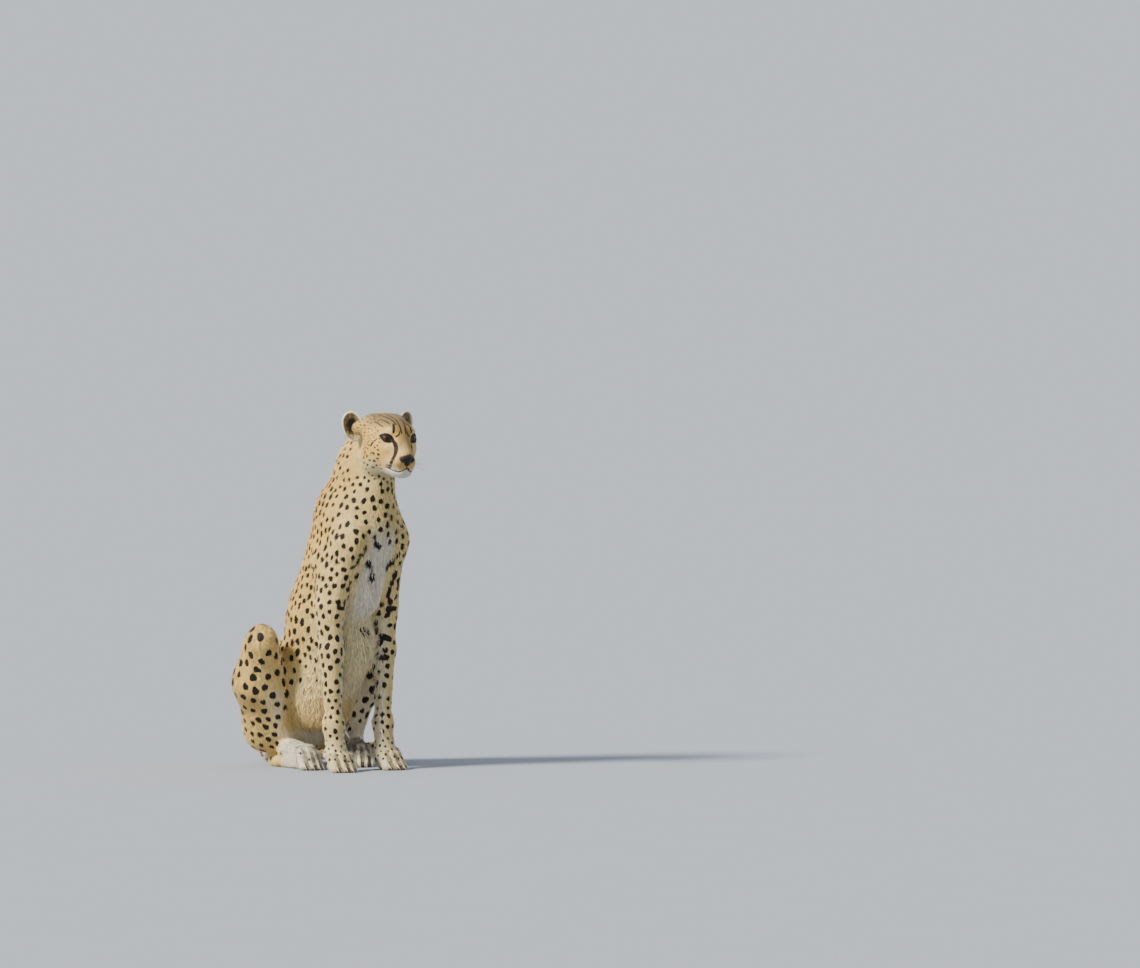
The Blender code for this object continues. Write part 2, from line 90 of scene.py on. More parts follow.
def unit(v):
    return v / np.maximum(np.linalg.norm(v, axis=-1, keepdims=True), 1e-9)


def smooth_step(low, high, x):
    t = np.clip((x - low) / (high - low), 0, 1)
    return t * t * (3 - 2 * t)


def new_object(name, mesh):
    thing = bpy.data.objects.new(name, mesh)
    bpy.context.scene.collection.objects.link(thing)
    return thing


def pick(thing):
    """Make thing the only selected object and the active one."""
    bpy.ops.object.select_all(action="DESELECT")
    thing.select_set(True)
    bpy.context.view_layer.objects.active = thing


def modify(thing, kind, **settings):
    """Add a modifier, set it and apply it."""
    pick(thing)
    mod = thing.modifiers.new(kind.lower(), kind)
    for key, value in settings.items():
        setattr(mod, key, value)
    bpy.ops.object.modifier_apply(modifier=mod.name)


def mesh_from(bm, name, outward=True):
    """Make a mesh of what was built, with its faces turned outwards."""
    if outward:
        bmesh.ops.recalc_face_normals(bm, faces=bm.faces)
    mesh = bpy.data.meshes.new(name)
    bm.to_mesh(mesh)
    bm.free()
    return mesh


def ring_of(bm, centre, across, up, around):
    """A ring of points round a centre; across and up are its half axes."""
    return [bm.verts.new(centre + across * math.cos(t) + up * math.sin(t))
            for t in np.linspace(0, 2 * math.pi, around, endpoint=False)]


def stitch(bm, rings, closed=False):
    """Join each ring of points to the next by a band of faces."""
    for a, b in zip(rings, rings[1:] + rings[:1] if closed else rings[1:]):
        for j in range(len(a)):
            k = (j + 1) % len(a)
            bm.faces.new((a[j], a[k], b[k], b[j]))


def store(mesh, name, values):
    """Keep a number or a colour for each vertex."""
    kind = "FLOAT" if values.ndim == 1 else "FLOAT_COLOR"
    layer = mesh.attributes.new(name, kind, "POINT")
    if values.ndim == 1:
        layer.data.foreach_set("value", values.astype(np.float32))
    else:
        rgba = np.ones((len(values), 4), np.float32)
        rgba[:, :3] = values
        layer.data.foreach_set("color", rgba.ravel())


def finished(thing, material, replaced=()):
    """Move a piece into the frame, dress it, hang it on the root body, hide the parts it replaces and
    print its triangles.
    """
    place(thing.data, points_of(thing.data) - OFFSET)
    thing.data.polygons.foreach_set("use_smooth", np.ones(len(thing.data.polygons), bool))
    thing.data.materials.clear()
    thing.data.materials.append(material)
    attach(thing, "root")
    if replaced:
        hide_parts(*replaced)
    print(f"{thing.name}: {sum(len(q.vertices) - 2 for q in thing.data.polygons)} triangles")
    return thing


# %% [markdown]
# ## The body as a sum of round masses
# Flesh has no hard edges, so a body can be described as tapered capsules and ellipsoids that
# melt into each other.  For each mass the distance from any point to its surface is a short
# formula, and a smooth minimum of those distances is one soft surface round them all.  The skin
# could instead be sculpted or smoothed out of the frame's facets, but a formula can be asked for
# its surface at any fineness and any depth, so the same body gives a skin that lies under the
# coat by exactly the coat's thickness.

# %% Masses and their union
def at(forward, left, up):
    """A point given the way the animal faces."""
    return np.array((left, -forward, up), float)


class Mass:
    """A tapered capsule or an ellipsoid; warp maps space to where it is round."""

    def __init__(self, start, end, r0, r1, blend, warp=None):
        self.start, end = np.asarray(start, float), np.asarray(end, float)
        self.warp = np.eye(3) if warp is None else warp
        self.back = np.linalg.inv(self.warp)
        self.axis = self.warp @ (end - self.start)
        self.r0, self.r1, self.blend = r0, r1, blend
        self.length2 = max(float(self.axis @ self.axis), 1e-12)
        self.centre = (self.start + end) / 2
        widest = max(r0, r1) * np.linalg.norm(self.back, 2)
        self.reach = np.linalg.norm(end - self.start) / 2 + widest

    def distance(self, p):
        q = (p - self.start) @ self.warp.T
        t = np.clip(q @ self.axis / self.length2, 0, 1)
        away = q - t[:, None] * self.axis
        return np.sqrt((away * away).sum(1)) - (self.r0 + t * (self.r1 - self.r0))

    def hull(self):
        """The mass as a rough convex mesh."""
        bm = bmesh.new()
        for centre, radius in ((0 * self.axis, self.r0), (self.axis, self.r1)):
            for v in bmesh.ops.create_icosphere(bm, subdivisions=2, radius=radius)["verts"]:
                v.co = self.start + self.back @ (np.array(v.co) + centre)
        inner = bmesh.ops.convex_hull(bm, input=bm.verts)["geom_interior"]
        bmesh.ops.delete(bm, geom=[g for g in inner if isinstance(g, bmesh.types.BMVert)])
        return mesh_from(bm, "hull", outward=False)


def limb(a, b, r0, r1, blend=0.02, wide=1.0, across=(1, 0, 0)):
    """A capsule from a to b, its girth times `wide` along `across`."""
    n = np.asarray(across, float) / np.linalg.norm(across)
    return Mass(a, b, r0, r1, blend, np.eye(3) + (1 / wide - 1) * np.outer(n, n))


def ball(centre, radii, blend=0.02, axes=None):
    """An ellipsoid with radii to the left, forward and up of its axes."""
    axes = np.eye(3) if axes is None else axes
    r = float(np.prod(radii)) ** (1 / 3)
    return Mass(centre, centre, r, r, blend, np.diag(r / np.array(radii)) @ axes.T)


def smooth_min(a, b, k):
    h = np.maximum(k - np.abs(a - b), 0) / k
    return np.minimum(a, b) - h * h * k / 4


FAR = 0.5  # the distance given to points that are far from everything


def union(masses, p):
    """Distance to the smooth union of masses, good near its surface."""
    total = np.full(len(p), FAR)
    for m in masses:
        near = ((p - m.centre) ** 2).sum(1) < (m.reach + m.blend + 0.03) ** 2
        total[near] = smooth_min(total[near], m.distance(p[near]), m.blend)
    return total


def hollow(total, dents, p):
    """Take dents out of a body whose distances are total, with soft edges."""
    for m in dents:
        near = ((p - m.centre) ** 2).sum(1) < (m.reach + m.blend + 0.02) ** 2
        total[near] = -smooth_min(-total[near], m.distance(p[near]), m.blend)
    return total


def settle(p, body, times=2, limit=0.006):
    """Move points onto the surface where body(p) is zero."""
    step = 2e-4
    for _ in range(times):
        here = body(p)
        slope = np.stack([(body(p + np.eye(3)[i] * step) - here) / step for i in range(3)], 1)
        move = (here / np.maximum((slope * slope).sum(1), 0.05))[:, None] * slope
        far = np.linalg.norm(move, axis=1)
        p = p - move * np.minimum(1, limit / np.maximum(far, 1e-9))[:, None]
    return p


def relax(p, edges, times=2):
    """Even out the spacing of points joined by edges."""
    n = len(p)
    count = np.maximum(np.bincount(edges.ravel(), minlength=n), 1)[:, None]
    for _ in range(times):
        total = np.stack([np.bincount(edges[:, 0], p[edges[:, 1], k], n)
                          + np.bincount(edges[:, 1], p[edges[:, 0], k], n) for k in range(3)], 1)
        p = (p + total / count) / 2
    return p


# %% [markdown]
# ## Where the flesh lies
# These are the same masses as in the solids: ribcage, loin, neck, skull, limbs and toes.  They
# are repeated here because the frame holds only facets.  The head has its own axes, since it is
# turned a little to the right and down, and the left eye's node says where the animal's own
# coordinates lie in the frame.  The masses of each part melt into each other first, and the parts
# then melt into the trunk.

# %% The head's axes
def turned(yaw, pitch):
    """Columns left, back, up; turned left by yaw and nose up by pitch."""
    c, s = math.cos(yaw), math.sin(yaw)
    about_up = np.array(((c, -s, 0), (s, c, 0), (0, 0, 1)))
    c, s = math.cos(pitch), math.sin(pitch)
    return about_up @ np.array(((1, 0, 0), (0, c, s), (0, -s, c)))


HEAD_AT = at(0.168, -0.016, 0.826)  # midway between the eyes
HEAD = turned(math.radians(-8), math.radians(-3))
UP = np.array((0, 0, 1.0))
EYE_RADIUS = 0.0165


def on_head(forward, left, up):
    return HEAD_AT + HEAD @ np.array((left, -forward, up))


def in_head(p):
    """Forward, left and up of points, along the head's own axes."""
    q = (p - HEAD_AT) @ HEAD
    return -q[:, 1], q[:, 0], q[:, 2]


def mirrored(points, s):
    """Points given on the head's left side, carried to side s."""
    return [(f, s * l, u) for f, l, u in points]


def head_ball(forward, left, up, radii, blend=0.02):
    return ball(on_head(forward, left, up), radii, blend, HEAD)


def head_limb(a, b, r0, r1, blend=0.02, wide=1.0):
    return limb(on_head(*a), on_head(*b), r0, r1, blend, wide, HEAD[:, 0])


def eye_centre(s):
    return on_head(-0.0055, s * 0.0315, -0.0045)


low, high = (np.array(q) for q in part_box("eye_left"))
OFFSET = eye_centre(1) - (low + high) / 2
print("the animal's own origin lies at", (-OFFSET).round(4))


# %% Trunk, neck and head
def trunk_masses():
    return [
        limb(at(-0.047, 0, 0.590), at(-0.134, 0, 0.385), 0.112, 0.112, 0.03, 0.80),  # ribcage
        limb(at(0.030, 0, 0.590), at(-0.008, 0, 0.440), 0.062, 0.055, 0.05, 0.85),  # breast
        limb(at(-0.134, 0, 0.380), at(-0.216, 0, 0.240), 0.108, 0.097, 0.05, 0.84),  # loin
        limb(at(-0.217, 0, 0.235), at(-0.268, 0, 0.130), 0.094, 0.080, 0.05),  # pelvis
        ball(at(-0.285, 0, 0.066), (0.078, 0.060, 0.070), 0.04),  # rump
        limb(at(-0.050, 0, 0.310), at(-0.145, 0, 0.170), 0.066, 0.072, 0.05),  # belly
        limb(at(-0.022, 0, 0.640), at(0.012, 0, 0.760), 0.094, 0.066, 0.05, 0.82),  # neck
        limb(at(-0.054, 0, 0.680), at(-0.016, 0, 0.765), 0.054, 0.037, 0.05),  # mane
        limb(at(0.038, 0, 0.640), at(0.070, -0.005, 0.745), 0.058, 0.040, 0.05, 0.95),  # throat
        limb(at(0.012, 0, 0.750), at(0.050, 0, 0.810), 0.064, 0.054, 0.04, 0.9),  # nape
    ]


def head_masses():
    middle = [
        head_ball(-0.060, 0, 0.003, (0.058, 0.070, 0.0545)),  # braincase
        head_ball(-0.012, 0, 0.010, (0.034, 0.034, 0.028), 0.03),  # forehead
        head_ball(-0.018, 0, -0.036, (0.044, 0.046, 0.038), 0.03),  # face
        head_limb((0.000, 0, -0.002), (0.038, 0, -0.040), 0.0185, 0.0140, 0.02, 0.95),  # bridge
        head_limb((-0.004, 0, -0.042), (0.024, 0, -0.056), 0.036, 0.025, 0.02, 1.05),  # muzzle
        head_limb((-0.034, 0, -0.068), (0.022, 0, -0.084), 0.027, 0.0150, 0.02, 1.1),  # jaw
        head_ball(0.0445, 0, -0.0515, (0.0165, 0.0090, 0.0110), 0.008),  # nose root
    ]
    for s in SIDES.values():
        middle += [
            head_ball(-0.042, s * 0.032, -0.034, (0.026, 0.042, 0.036), 0.025),  # cheek
            head_ball(-0.070, s * 0.034, -0.054, (0.024, 0.038, 0.036), 0.025),  # ruff
            head_limb((0.008, s * 0.022, 0.016), (-0.016, s * 0.042, 0.012), 0.0095, 0.012, 0.012),
            head_ball(0.025, s * 0.0150, -0.060, (0.0165, 0.0190, 0.0160), 0.010),  # whisker pad
            head_ball(0.017, s * 0.0115, -0.082, (0.0145, 0.0170, 0.0140), 0.016),  # chin
            head_ball(-0.002, s * 0.0210, -0.066, (0.0160, 0.0240, 0.0200), 0.020),  # lip corner
            head_limb((0.004, s * 0.032, -0.024), (-0.036, s * 0.048, -0.018), 0.010, 0.012, 0.015),
            head_limb((-0.074, s * 0.036, 0.0315), (-0.094, s * 0.061, 0.018), 0.0205, 0.0165, 0.025),
        ]
    return middle


# %% Forelegs and feet
def aim(base, toward):
    """Foot frame: the ground point, forward and left."""
    ahead = (toward - base) * (1, 1, 0)
    ahead /= np.linalg.norm(ahead)
    return base * (1, 1, 0), ahead, np.array((-ahead[1], ahead[0], 0.0))


def foot_frame(ankle, toes):
    base, ahead, left = aim(ankle, toes)
    return toes * (1, 1, 0) - ahead * 0.040, ahead, left, 0.92


SPREAD = ((-1.5, -0.011), (-0.5, 0.0), (0.5, 0.0), (1.5, -0.011))  # toes: place across, advance
FORE = {s: aim(at(-0.006, s * 0.076, 0), at(0.094, s * (0.076 + 0.007), 0)) + (1.0,)
        for s in (-1, 1)}


def paw(foot):
    base, ahead, left, size = foot
    toes = []
    for across, advance in SPREAD:
        root = base + ahead * advance * 0.4 + left * across * 0.0120 * size + UP * 0.044
        knuckle = base + ahead * (0.027 + advance) + left * across * 0.0160 * size + UP * 0.035
        tip = base + ahead * (0.046 + advance) + left * across * 0.0178 * size + UP * 0.0105
        toes += [limb(root, knuckle, 0.0140 * size, 0.0132 * size, 0.010),
                 limb(knuckle, tip, 0.0128 * size, 0.0122 * size, 0.005)]
    pad = ball(base + ahead * 0.006 + UP * 0.017, (0.027 * size, 0.026, 0.019), 0.010,
               np.stack((left, -ahead, UP), 1))
    return toes + [pad]


def foreleg_masses(s):
    scapula, shoulder = at(-0.058, s * 0.046, 0.645), at(0.030, s * 0.062, 0.572)
    elbow, wrist = at(-0.022, s * 0.084, 0.410), at(-0.016, s * 0.077, 0.115)
    middle, foot = at(-0.018, s * 0.081, 0.300), at(-0.006, s * 0.076, 0)
    upper = [limb(at(0.010, s * 0.022, 0.690), shoulder, 0.050, 0.046, 0.04, 0.75),
             limb(scapula, shoulder, 0.044, 0.048, 0.035, 0.66),
             limb(shoulder, elbow, 0.050, 0.038, 0.03, 0.76),
             limb(at(-0.030, s * 0.078, 0.520), elbow, 0.052, 0.036, 0.03, 0.60)]
    lower = [limb(elbow, middle, 0.040, 0.0315, 0.02, 0.86),
             limb(middle, wrist, 0.0315, 0.0215, 0.02, 0.94),
             limb(at(-0.045, s * 0.084, 0.420), at(-0.022, s * 0.084, 0.380), 0.020, 0.026, 0.02),
             ball(wrist, (0.0245, 0.0255, 0.029), 0.02),
             limb(wrist, foot + (0, 0, 0.045), 0.0225, 0.026, 0.015, 1.1)]
    return upper, lower + paw(FORE[s])


# %% Hind legs and tail
HIND = {
    -1: dict(hip=at(-0.285, -0.062, 0.135), knee=at(-0.185, -0.172, 0.318),
             ankle=at(-0.238, -0.063, 0.072), heel=at(-0.290, -0.055, 0.018),
             seat=at(-0.298, -0.078, 0.095), thigh=at(-0.257, -0.137, 0.215),
             above=at(-0.214, -0.160, 0.300)),
    1: dict(hip=at(-0.272, 0.065, 0.135), knee=at(-0.176, 0.172, 0.318),
            ankle=at(-0.222, 0.143, 0.072), heel=at(-0.266, 0.166, 0.018),
            seat=at(-0.244, 0.120, 0.122), thigh=at(-0.197, 0.165, 0.220),
            above=at(-0.186, 0.168, 0.295)),
}
TOES = {-1: at(-0.092, -0.085, 0), 1: at(-0.105, 0.080, 0)}  # where the hind toes point
BACK = {s: foot_frame(HIND[s]["ankle"], TOES[s]) for s in (-1, 1)}
TAIL_PATH = ((-0.330, 0.000, 0.085), (-0.385, 0.012, 0.050), (-0.430, 0.035, 0.030),
             (-0.462, 0.068, 0.0265), (-0.468, 0.130, 0.0255), (-0.438, 0.195, 0.0245),
             (-0.380, 0.245, 0.0237), (-0.305, 0.268, 0.0230), (-0.235, 0.262, 0.0223),
             (-0.180, 0.230, 0.0218))


def hindleg_masses(s):
    leg, outward = HIND[s], (s * 0.8, 0.6, 0)
    shin = (leg["knee"] + leg["ankle"]) / 2
    calf = leg["knee"] * 0.45 + shin * 0.55 + at(-0.02, 0, 0)
    base = BACK[s][0]
    upper = [limb(leg["hip"], leg["knee"], 0.080, 0.044, 0.03, 0.80, outward),
             limb(leg["hip"] - UP * 0.03, leg["seat"], 0.060, 0.052, 0.04),
             limb(leg["seat"], leg["thigh"], 0.052, 0.060 if s < 0 else 0.055, 0.03, 0.95, outward),
             limb(leg["thigh"], leg["above"], 0.060 if s < 0 else 0.055, 0.047, 0.03, 0.92, outward)]
    lower = [limb(leg["knee"], shin, 0.043, 0.034, 0.02, 0.9, outward),
             limb(shin, leg["ankle"], 0.034, 0.024),
             limb(calf, leg["heel"] + UP * 0.02, 0.030, 0.015),
             limb(leg["ankle"] - UP * 0.018, base + UP * 0.040, 0.026, 0.024, 0.015, 1.05),
             limb(leg["heel"], base + UP * 0.019, 0.0195, 0.0205, 0.015, 1.1)]
    return upper, lower + paw(BACK[s])


def tail_masses():
    points = [at(*q) for q in TAIL_PATH]
    radius = np.linspace(0.030, 0.0232, len(points))
    return [limb(points[i], points[i + 1], radius[i], radius[i + 1], 0.01)
            for i in range(len(points) - 1)]


GROUPS = [(trunk_masses() + head_masses(), 0.02)]
for side in SIDES.values():
    arm, forearm = foreleg_masses(side)
    thigh, shank = hindleg_masses(side)
    GROUPS += [(arm, 0.035), (forearm, 0.015), (thigh, 0.02), (shank, 0.012)]
GROUPS.append((tail_masses(), 0.02))


def flesh(p):
    """Distance to the whole animal out to the tips of its coat, eye openings left closed."""
    total = np.full(len(p), FAR)
    for masses, k in GROUPS:
        total = smooth_min(total, union(masses, p), k)
    return total


# %% [markdown]
# ## How deep the coat is
# The solids reach to the tips of the coat, so the skin has to lie below them by the coat's own
# depth.  A cheetah's coat is short: about 3 mm on the face and the feet and 5 mm on the back.  It
# is longer and looser on the chest, the belly and the nape.  One function says how deep it is at
# any place, and both the skin and the tufts use it.

# %% Coat depth
SPINE_UP = (0.05, 0.13, 0.24, 0.385, 0.59, 0.68, 0.76)
SPINE_FORWARD = (-0.290, -0.268, -0.216, -0.134, -0.047, -0.012, 0.012)


def before_spine(p):
    """How far a point lies in front of the middle of the trunk at its height."""
    return -p[:, 1] - np.interp(p[:, 2], SPINE_UP, SPINE_FORWARD)


def under_side(p):
    """1 on the throat, the chest and the belly, 0 elsewhere."""
    narrow = smooth_step(0.085, 0.045, np.abs(p[:, 0]))
    return (smooth_step(0.035, 0.085, before_spine(p)) * narrow
            * smooth_step(0.10, 0.16, p[:, 2]) * smooth_step(0.715, 0.64, p[:, 2]))


def head_share(p):
    """1 on the head, 0 on the neck."""
    f, l, u = in_head(p)
    return smooth_step(-0.125, -0.090, f + 0.25 * u) * smooth_step(-0.125, -0.100, u)


def coat_depth(p):
    f, _, u = in_head(p)
    up = p[:, 2]
    body = 0.0050 + 0.0050 * under_side(p)
    body += 0.0025 * smooth_step(-0.03, -0.07, before_spine(p)) * smooth_step(0.60, 0.66, up)
    limb_share = smooth_step(0.42, 0.30, up) * smooth_step(0.090, 0.060, p[:, 1])
    body += (0.0040 - body) * limb_share * (1 - under_side(p))
    body += (0.0026 - body) * smooth_step(0.095, 0.050, up) * smooth_step(0.150, 0.120, p[:, 1])
    skull = 0.0026 + 0.0016 * smooth_step(0.0, -0.05, f)
    skull += 0.0030 * smooth_step(-0.030, -0.075, f) * smooth_step(-0.02, -0.06, u)
    return body + (skull - body) * head_share(p)


# %% [markdown]
# ## The folds of the face
# The solids give the head its planes.  What they leave out is fine work: lids that wrap the
# eyeballs, an almond opening between them with its outer corner raised, the line of the lips,
# the groove from nose to lip.  The lids are a shell round each eyeball, melted into the face,
# and the opening is where two round bars overlap, which makes an almond.  A crease is a thin
# capsule taken away along a path of a few points that has been laid on the skin.

# %% Eyes and lids
EYE_OUTWARD = math.radians(22)  # how far each eye looks to its own side
EYE_TILT = math.radians(20)  # how far the outer corner is raised
EYE_HALF, EYE_UPPER, EYE_LOWER = 0.0128, 0.0062, 0.0052
LID = 0.0016  # how far the lids stand off the eyeball


def eye_frame(s):
    """Columns: to the outer corner, up, and out along the gaze."""
    out = HEAD @ np.array((s * math.sin(EYE_OUTWARD), -math.cos(EYE_OUTWARD), 0.02))
    out /= np.linalg.norm(out)
    level = np.cross(HEAD[:, 2], out) * s
    level /= np.linalg.norm(level)
    rise = np.cross(out, level) * s
    c, w = math.cos(EYE_TILT), math.sin(EYE_TILT)
    return np.stack((c * level + w * rise, c * rise - w * level, out), 1)


def bow(height):
    """Radius and centre of the arc over the almond's width with that height."""
    r = (EYE_HALF ** 2 + height ** 2) / (2 * height)
    return r, height - r


def almond(a, b):
    """Distance to the rim of the opening: negative within."""
    r_up, c_up = bow(EYE_UPPER)
    r_low, c_low = bow(EYE_LOWER)
    return np.maximum(np.hypot(a, b - c_up) - r_up, np.hypot(a, b + c_low) - r_low)


def eye_places(p, s):
    """Points in the eye's own frame."""
    return (p - eye_centre(s)) @ eye_frame(s)


def open_lids(total, p):
    """Wrap the eyeballs in lids and open them."""
    for s in SIDES.values():
        q = eye_places(p, s)
        far = np.linalg.norm(q, axis=1)
        near = far < 0.034
        outer, above, out = eye_frame(s).T
        orbit = ball(eye_centre(s) + out * 0.0225, (0.0180, 0.0080, 0.0125), 0.008,
                     np.stack((outer, -out, above), 1))
        t = hollow(total[near], [orbit], p[near])
        shell = far[near] - (EYE_RADIUS + LID)
        t = smooth_min(t, shell, 0.006)
        rim = np.where(q[near, 2] > 0, almond(q[near, 0], q[near, 1]), 0.05)
        total[near] = -smooth_min(-t, rim, 0.0012)
    return total


# %% Creases and the skin's own surface
def covered(p):
    """The animal less its coat, before the folds of the face."""
    return flesh(p) + coat_depth(p)


def path(points, body=covered, between=5):
    """A smooth run through a few points given on the head, laid on the body."""
    way = np.array([on_head(*q) for q in points])
    ends = np.vstack((2 * way[0] - way[1], way, 2 * way[-1] - way[-2]))
    t = np.linspace(0, len(way) - 1, (len(way) - 1) * between + 1)
    i = np.minimum(t.astype(int), len(way) - 2)
    t = (t - i)[:, None]
    a, b, c, d = (ends[i + k] for k in range(4))
    way = b + 0.5 * t * (c - a + t * (2 * a - 5 * b + 4 * c - d + t * (3 * (b - c) + d - a)))
    return settle(way, body, 4, 0.01)


def crease(points, radius, blend=0.002):
    way = path(points)
    return [limb(a, b, radius, radius, blend) for a, b in zip(way, way[1:])]


LIP = ((0.0455, 0, -0.0745), (0.0420, 0.0090, -0.0820), (0.0360, 0.0175, -0.0845),
       (0.0260, 0.0275, -0.0820), (0.0160, 0.0340, -0.0785), (0.0040, 0.0385, -0.0745))
BESIDE_NOSE = ((0.0190, 0.0235, -0.0110), (0.0290, 0.0215, -0.0240))
CREASES = crease(((0.0500, 0, -0.0640), (0.0470, 0, -0.0740)), 0.0011)
for s in SIDES.values():
    CREASES += crease(mirrored(LIP, s), 0.0013)
    CREASES += crease(mirrored(BESIDE_NOSE, s), 0.0016, 0.004)


# A gap between two toes, from over the knuckles to the floor: advance, spread and height
CLEFT = ((0.0130, 0.0145, 0.0500), (0.0305, 0.0160, 0.0415), (0.0420, 0.0172, 0.0270),
         (0.0530, 0.0178, 0.0105), (0.0530, 0.0178, 0.0000))
CLEFT_HALF = 0.0030


def clefts(foot):
    """The three gaps between the toes of a foot."""
    base, ahead, left, size = foot
    dents = []
    for across, advance in ((-1, -0.0055), (0, 0.0), (1, -0.0055)):
        way = [base + ahead * (a + advance) + left * across * wide * size + UP * up
               for a, wide, up in CLEFT]
        dents += [limb(a, b, CLEFT_HALF, CLEFT_HALF, 0.003) for a, b in zip(way, way[1:])]
    return dents


FEET = (*FORE.values(), *BACK.values())
CLEFTS = [dent for foot in FEET for dent in clefts(foot)]


def skin(p):
    total = covered(p)
    low = p[:, 2] < 0.070
    total[low] = hollow(total[low], CLEFTS, p[low])
    near = ((p - HEAD_AT) ** 2).sum(1) < 0.16 ** 2
    q = p[near]
    total[near] = hollow(open_lids(total[near], q), CREASES, q)
    return total


# %% [markdown]
# ## The skin
# The hulls of all the masses are joined and meshed into one closed shell by a voxel remesh, and
# its points then slide onto the formula's surface.  A second remesh clears the creases where two
# sides met.  Detail is bought where it shows: the head and the feet are subdivided once, the
# toes and the face twice and the lids three times, and each time the new points slide onto the
# surface.

# %% The skin's mesh
SKIN_VOXEL = 0.0058


def shell_of(masses, voxel, name):
    """One closed mesh round the masses, still rough."""
    bm = bmesh.new()
    for m in masses:
        bm.from_mesh(m.hull())
    thing = new_object(name, mesh_from(bm, name, outward=False))
    modify(thing, "REMESH", mode="VOXEL", voxel_size=voxel)
    return thing


def refine(thing, chosen, body):
    """Subdivide the faces whose middles are chosen and lay the new points on the body."""
    mesh = thing.data
    picked = chosen(read(mesh.polygons, "center", 3))
    bm = bmesh.new()
    bm.from_mesh(mesh)
    bm.faces.ensure_lookup_table()
    faces = [bm.faces[i] for i in np.flatnonzero(picked)]
    edges = list({e for f in faces for e in f.edges})
    bmesh.ops.subdivide_edges(bm, edges=edges, cuts=1, use_grid_fill=True)
    bmesh.ops.triangulate(bm, faces=[f for f in bm.faces if len(f.verts) > 4])
    bm.to_mesh(mesh)
    bm.free()
    p = points_of(mesh)
    moving = chosen(p)
    p[moving] = settle(p[moving], body, 2)
    place(mesh, p)
    p = relax(p, edges_of(mesh), 1)
    p[moving] = settle(p[moving], body, 1)
    place(mesh, np.where(moving[:, None], p, points_of(mesh)))


def on_head_or_feet(p):
    return (head_share(p) > 0.3) | ((p[:, 2] < 0.075) & (p[:, 1] < 0.16))


def on_face(p):
    f, l, u = in_head(p)
    return (f > -0.015) & (u > -0.11) & (u < 0.03) & (np.abs(l) < 0.07)


def on_lids(p):
    away = [np.linalg.norm(eye_places(p, s) - (0, 0, 0.016), axis=1) for s in (-1, 1)]
    return np.min(away, 0) < 0.0175


def on_toes(p):
    chosen = np.zeros(len(p), bool)
    for base, ahead, left, _ in FEET:
        q = p - base
        ahead_of_base = q @ ahead
        chosen |= ((ahead_of_base > 0.012) & (ahead_of_base < 0.075)
                   & (np.abs(q @ left) < 0.042) & (p[:, 2] < 0.054))
    return chosen


bodies = [m for masses, _ in GROUPS for m in masses]
skin_piece = shell_of(bodies, SKIN_VOXEL, "skin")
for _ in range(2):
    laid = settle(points_of(skin_piece.data), covered)
    place(skin_piece.data, relax(laid, edges_of(skin_piece.data)))
place(skin_piece.data, settle(points_of(skin_piece.data), covered))
modify(skin_piece, "REMESH", mode="VOXEL", voxel_size=SKIN_VOXEL)
for where in (on_head_or_feet, on_toes, on_face, on_lids):
    refine(skin_piece, where, skin)
SKIN_OFF_FLOOR = 0.0006
flat = points_of(skin_piece.data)
flat[:, 2] = np.maximum(flat[:, 2], SKIN_OFF_FLOOR)
place(skin_piece.data, flat)
print("skin points", len(flat))


# %% [markdown]
# ## How the coat lies
# Hair grows away from the nose, over the crown and down the back, from the throat to the belly,
# and down each leg to the toes.  A few guide runs say this.  At any point the nearest guides
# count most, and what they say together is laid flat in the skin.  Painting a direction by hand
# would work too, but guides carry on smoothly from part to part.

# %% Lie of the coat
def lie_runs():
    runs = [
        [on_head(0.060, 0, -0.050), on_head(0.034, 0, -0.004), on_head(0.000, 0, 0.042),
         on_head(-0.060, 0, 0.056), at(-0.030, 0, 0.800), at(-0.075, 0, 0.700), at(-0.140, 0, 0.550),
         at(-0.230, 0, 0.380), at(-0.315, 0, 0.220), at(-0.360, 0, 0.110)],
        [at(*q) for q in TAIL_PATH],
        [on_head(0.045, 0, -0.085), on_head(-0.020, 0, -0.108), at(0.095, 0, 0.720),
         at(0.095, 0, 0.620), at(0.060, 0, 0.500), at(0.010, 0, 0.360), at(-0.070, 0, 0.230),
         at(-0.150, 0, 0.120)],
    ]
    for s in SIDES.values():
        leg = HIND[s]
        base, ahead = BACK[s][0], BACK[s][1]
        runs += [
            [on_head(0.055, s * 0.012, -0.055), on_head(0.020, s * 0.040, -0.045),
             on_head(-0.040, s * 0.070, -0.025), at(0.060, s * 0.085, 0.760),
             at(-0.010, s * 0.095, 0.680), at(-0.070, s * 0.110, 0.560),
             at(-0.130, s * 0.115, 0.400), at(-0.210, s * 0.125, 0.260)],
            [on_head(0.030, s * 0.020, 0.000), on_head(0.010, s * 0.034, 0.030),
             on_head(-0.050, s * 0.050, 0.050)],
            [at(0.050, s * 0.080, 0.630), at(0.040, s * 0.100, 0.560), at(-0.015, s * 0.105, 0.420),
             at(-0.010, s * 0.090, 0.250), at(0.000, s * 0.080, 0.110), at(0.040, s * 0.080, 0.050),
             at(0.080, s * 0.085, 0.010)],
            [leg["hip"] + UP * 0.03, leg["thigh"], leg["knee"]],
            [leg["seat"], leg["heel"]],
            [leg["knee"] + at(0.04, 0, 0), leg["ankle"] + at(0.03, 0, 0.01), base + UP * 0.045,
             base + ahead * 0.060],
        ]
    return runs


GUIDES = [(a, b) for run in lie_runs() for a, b in zip(run, run[1:])]


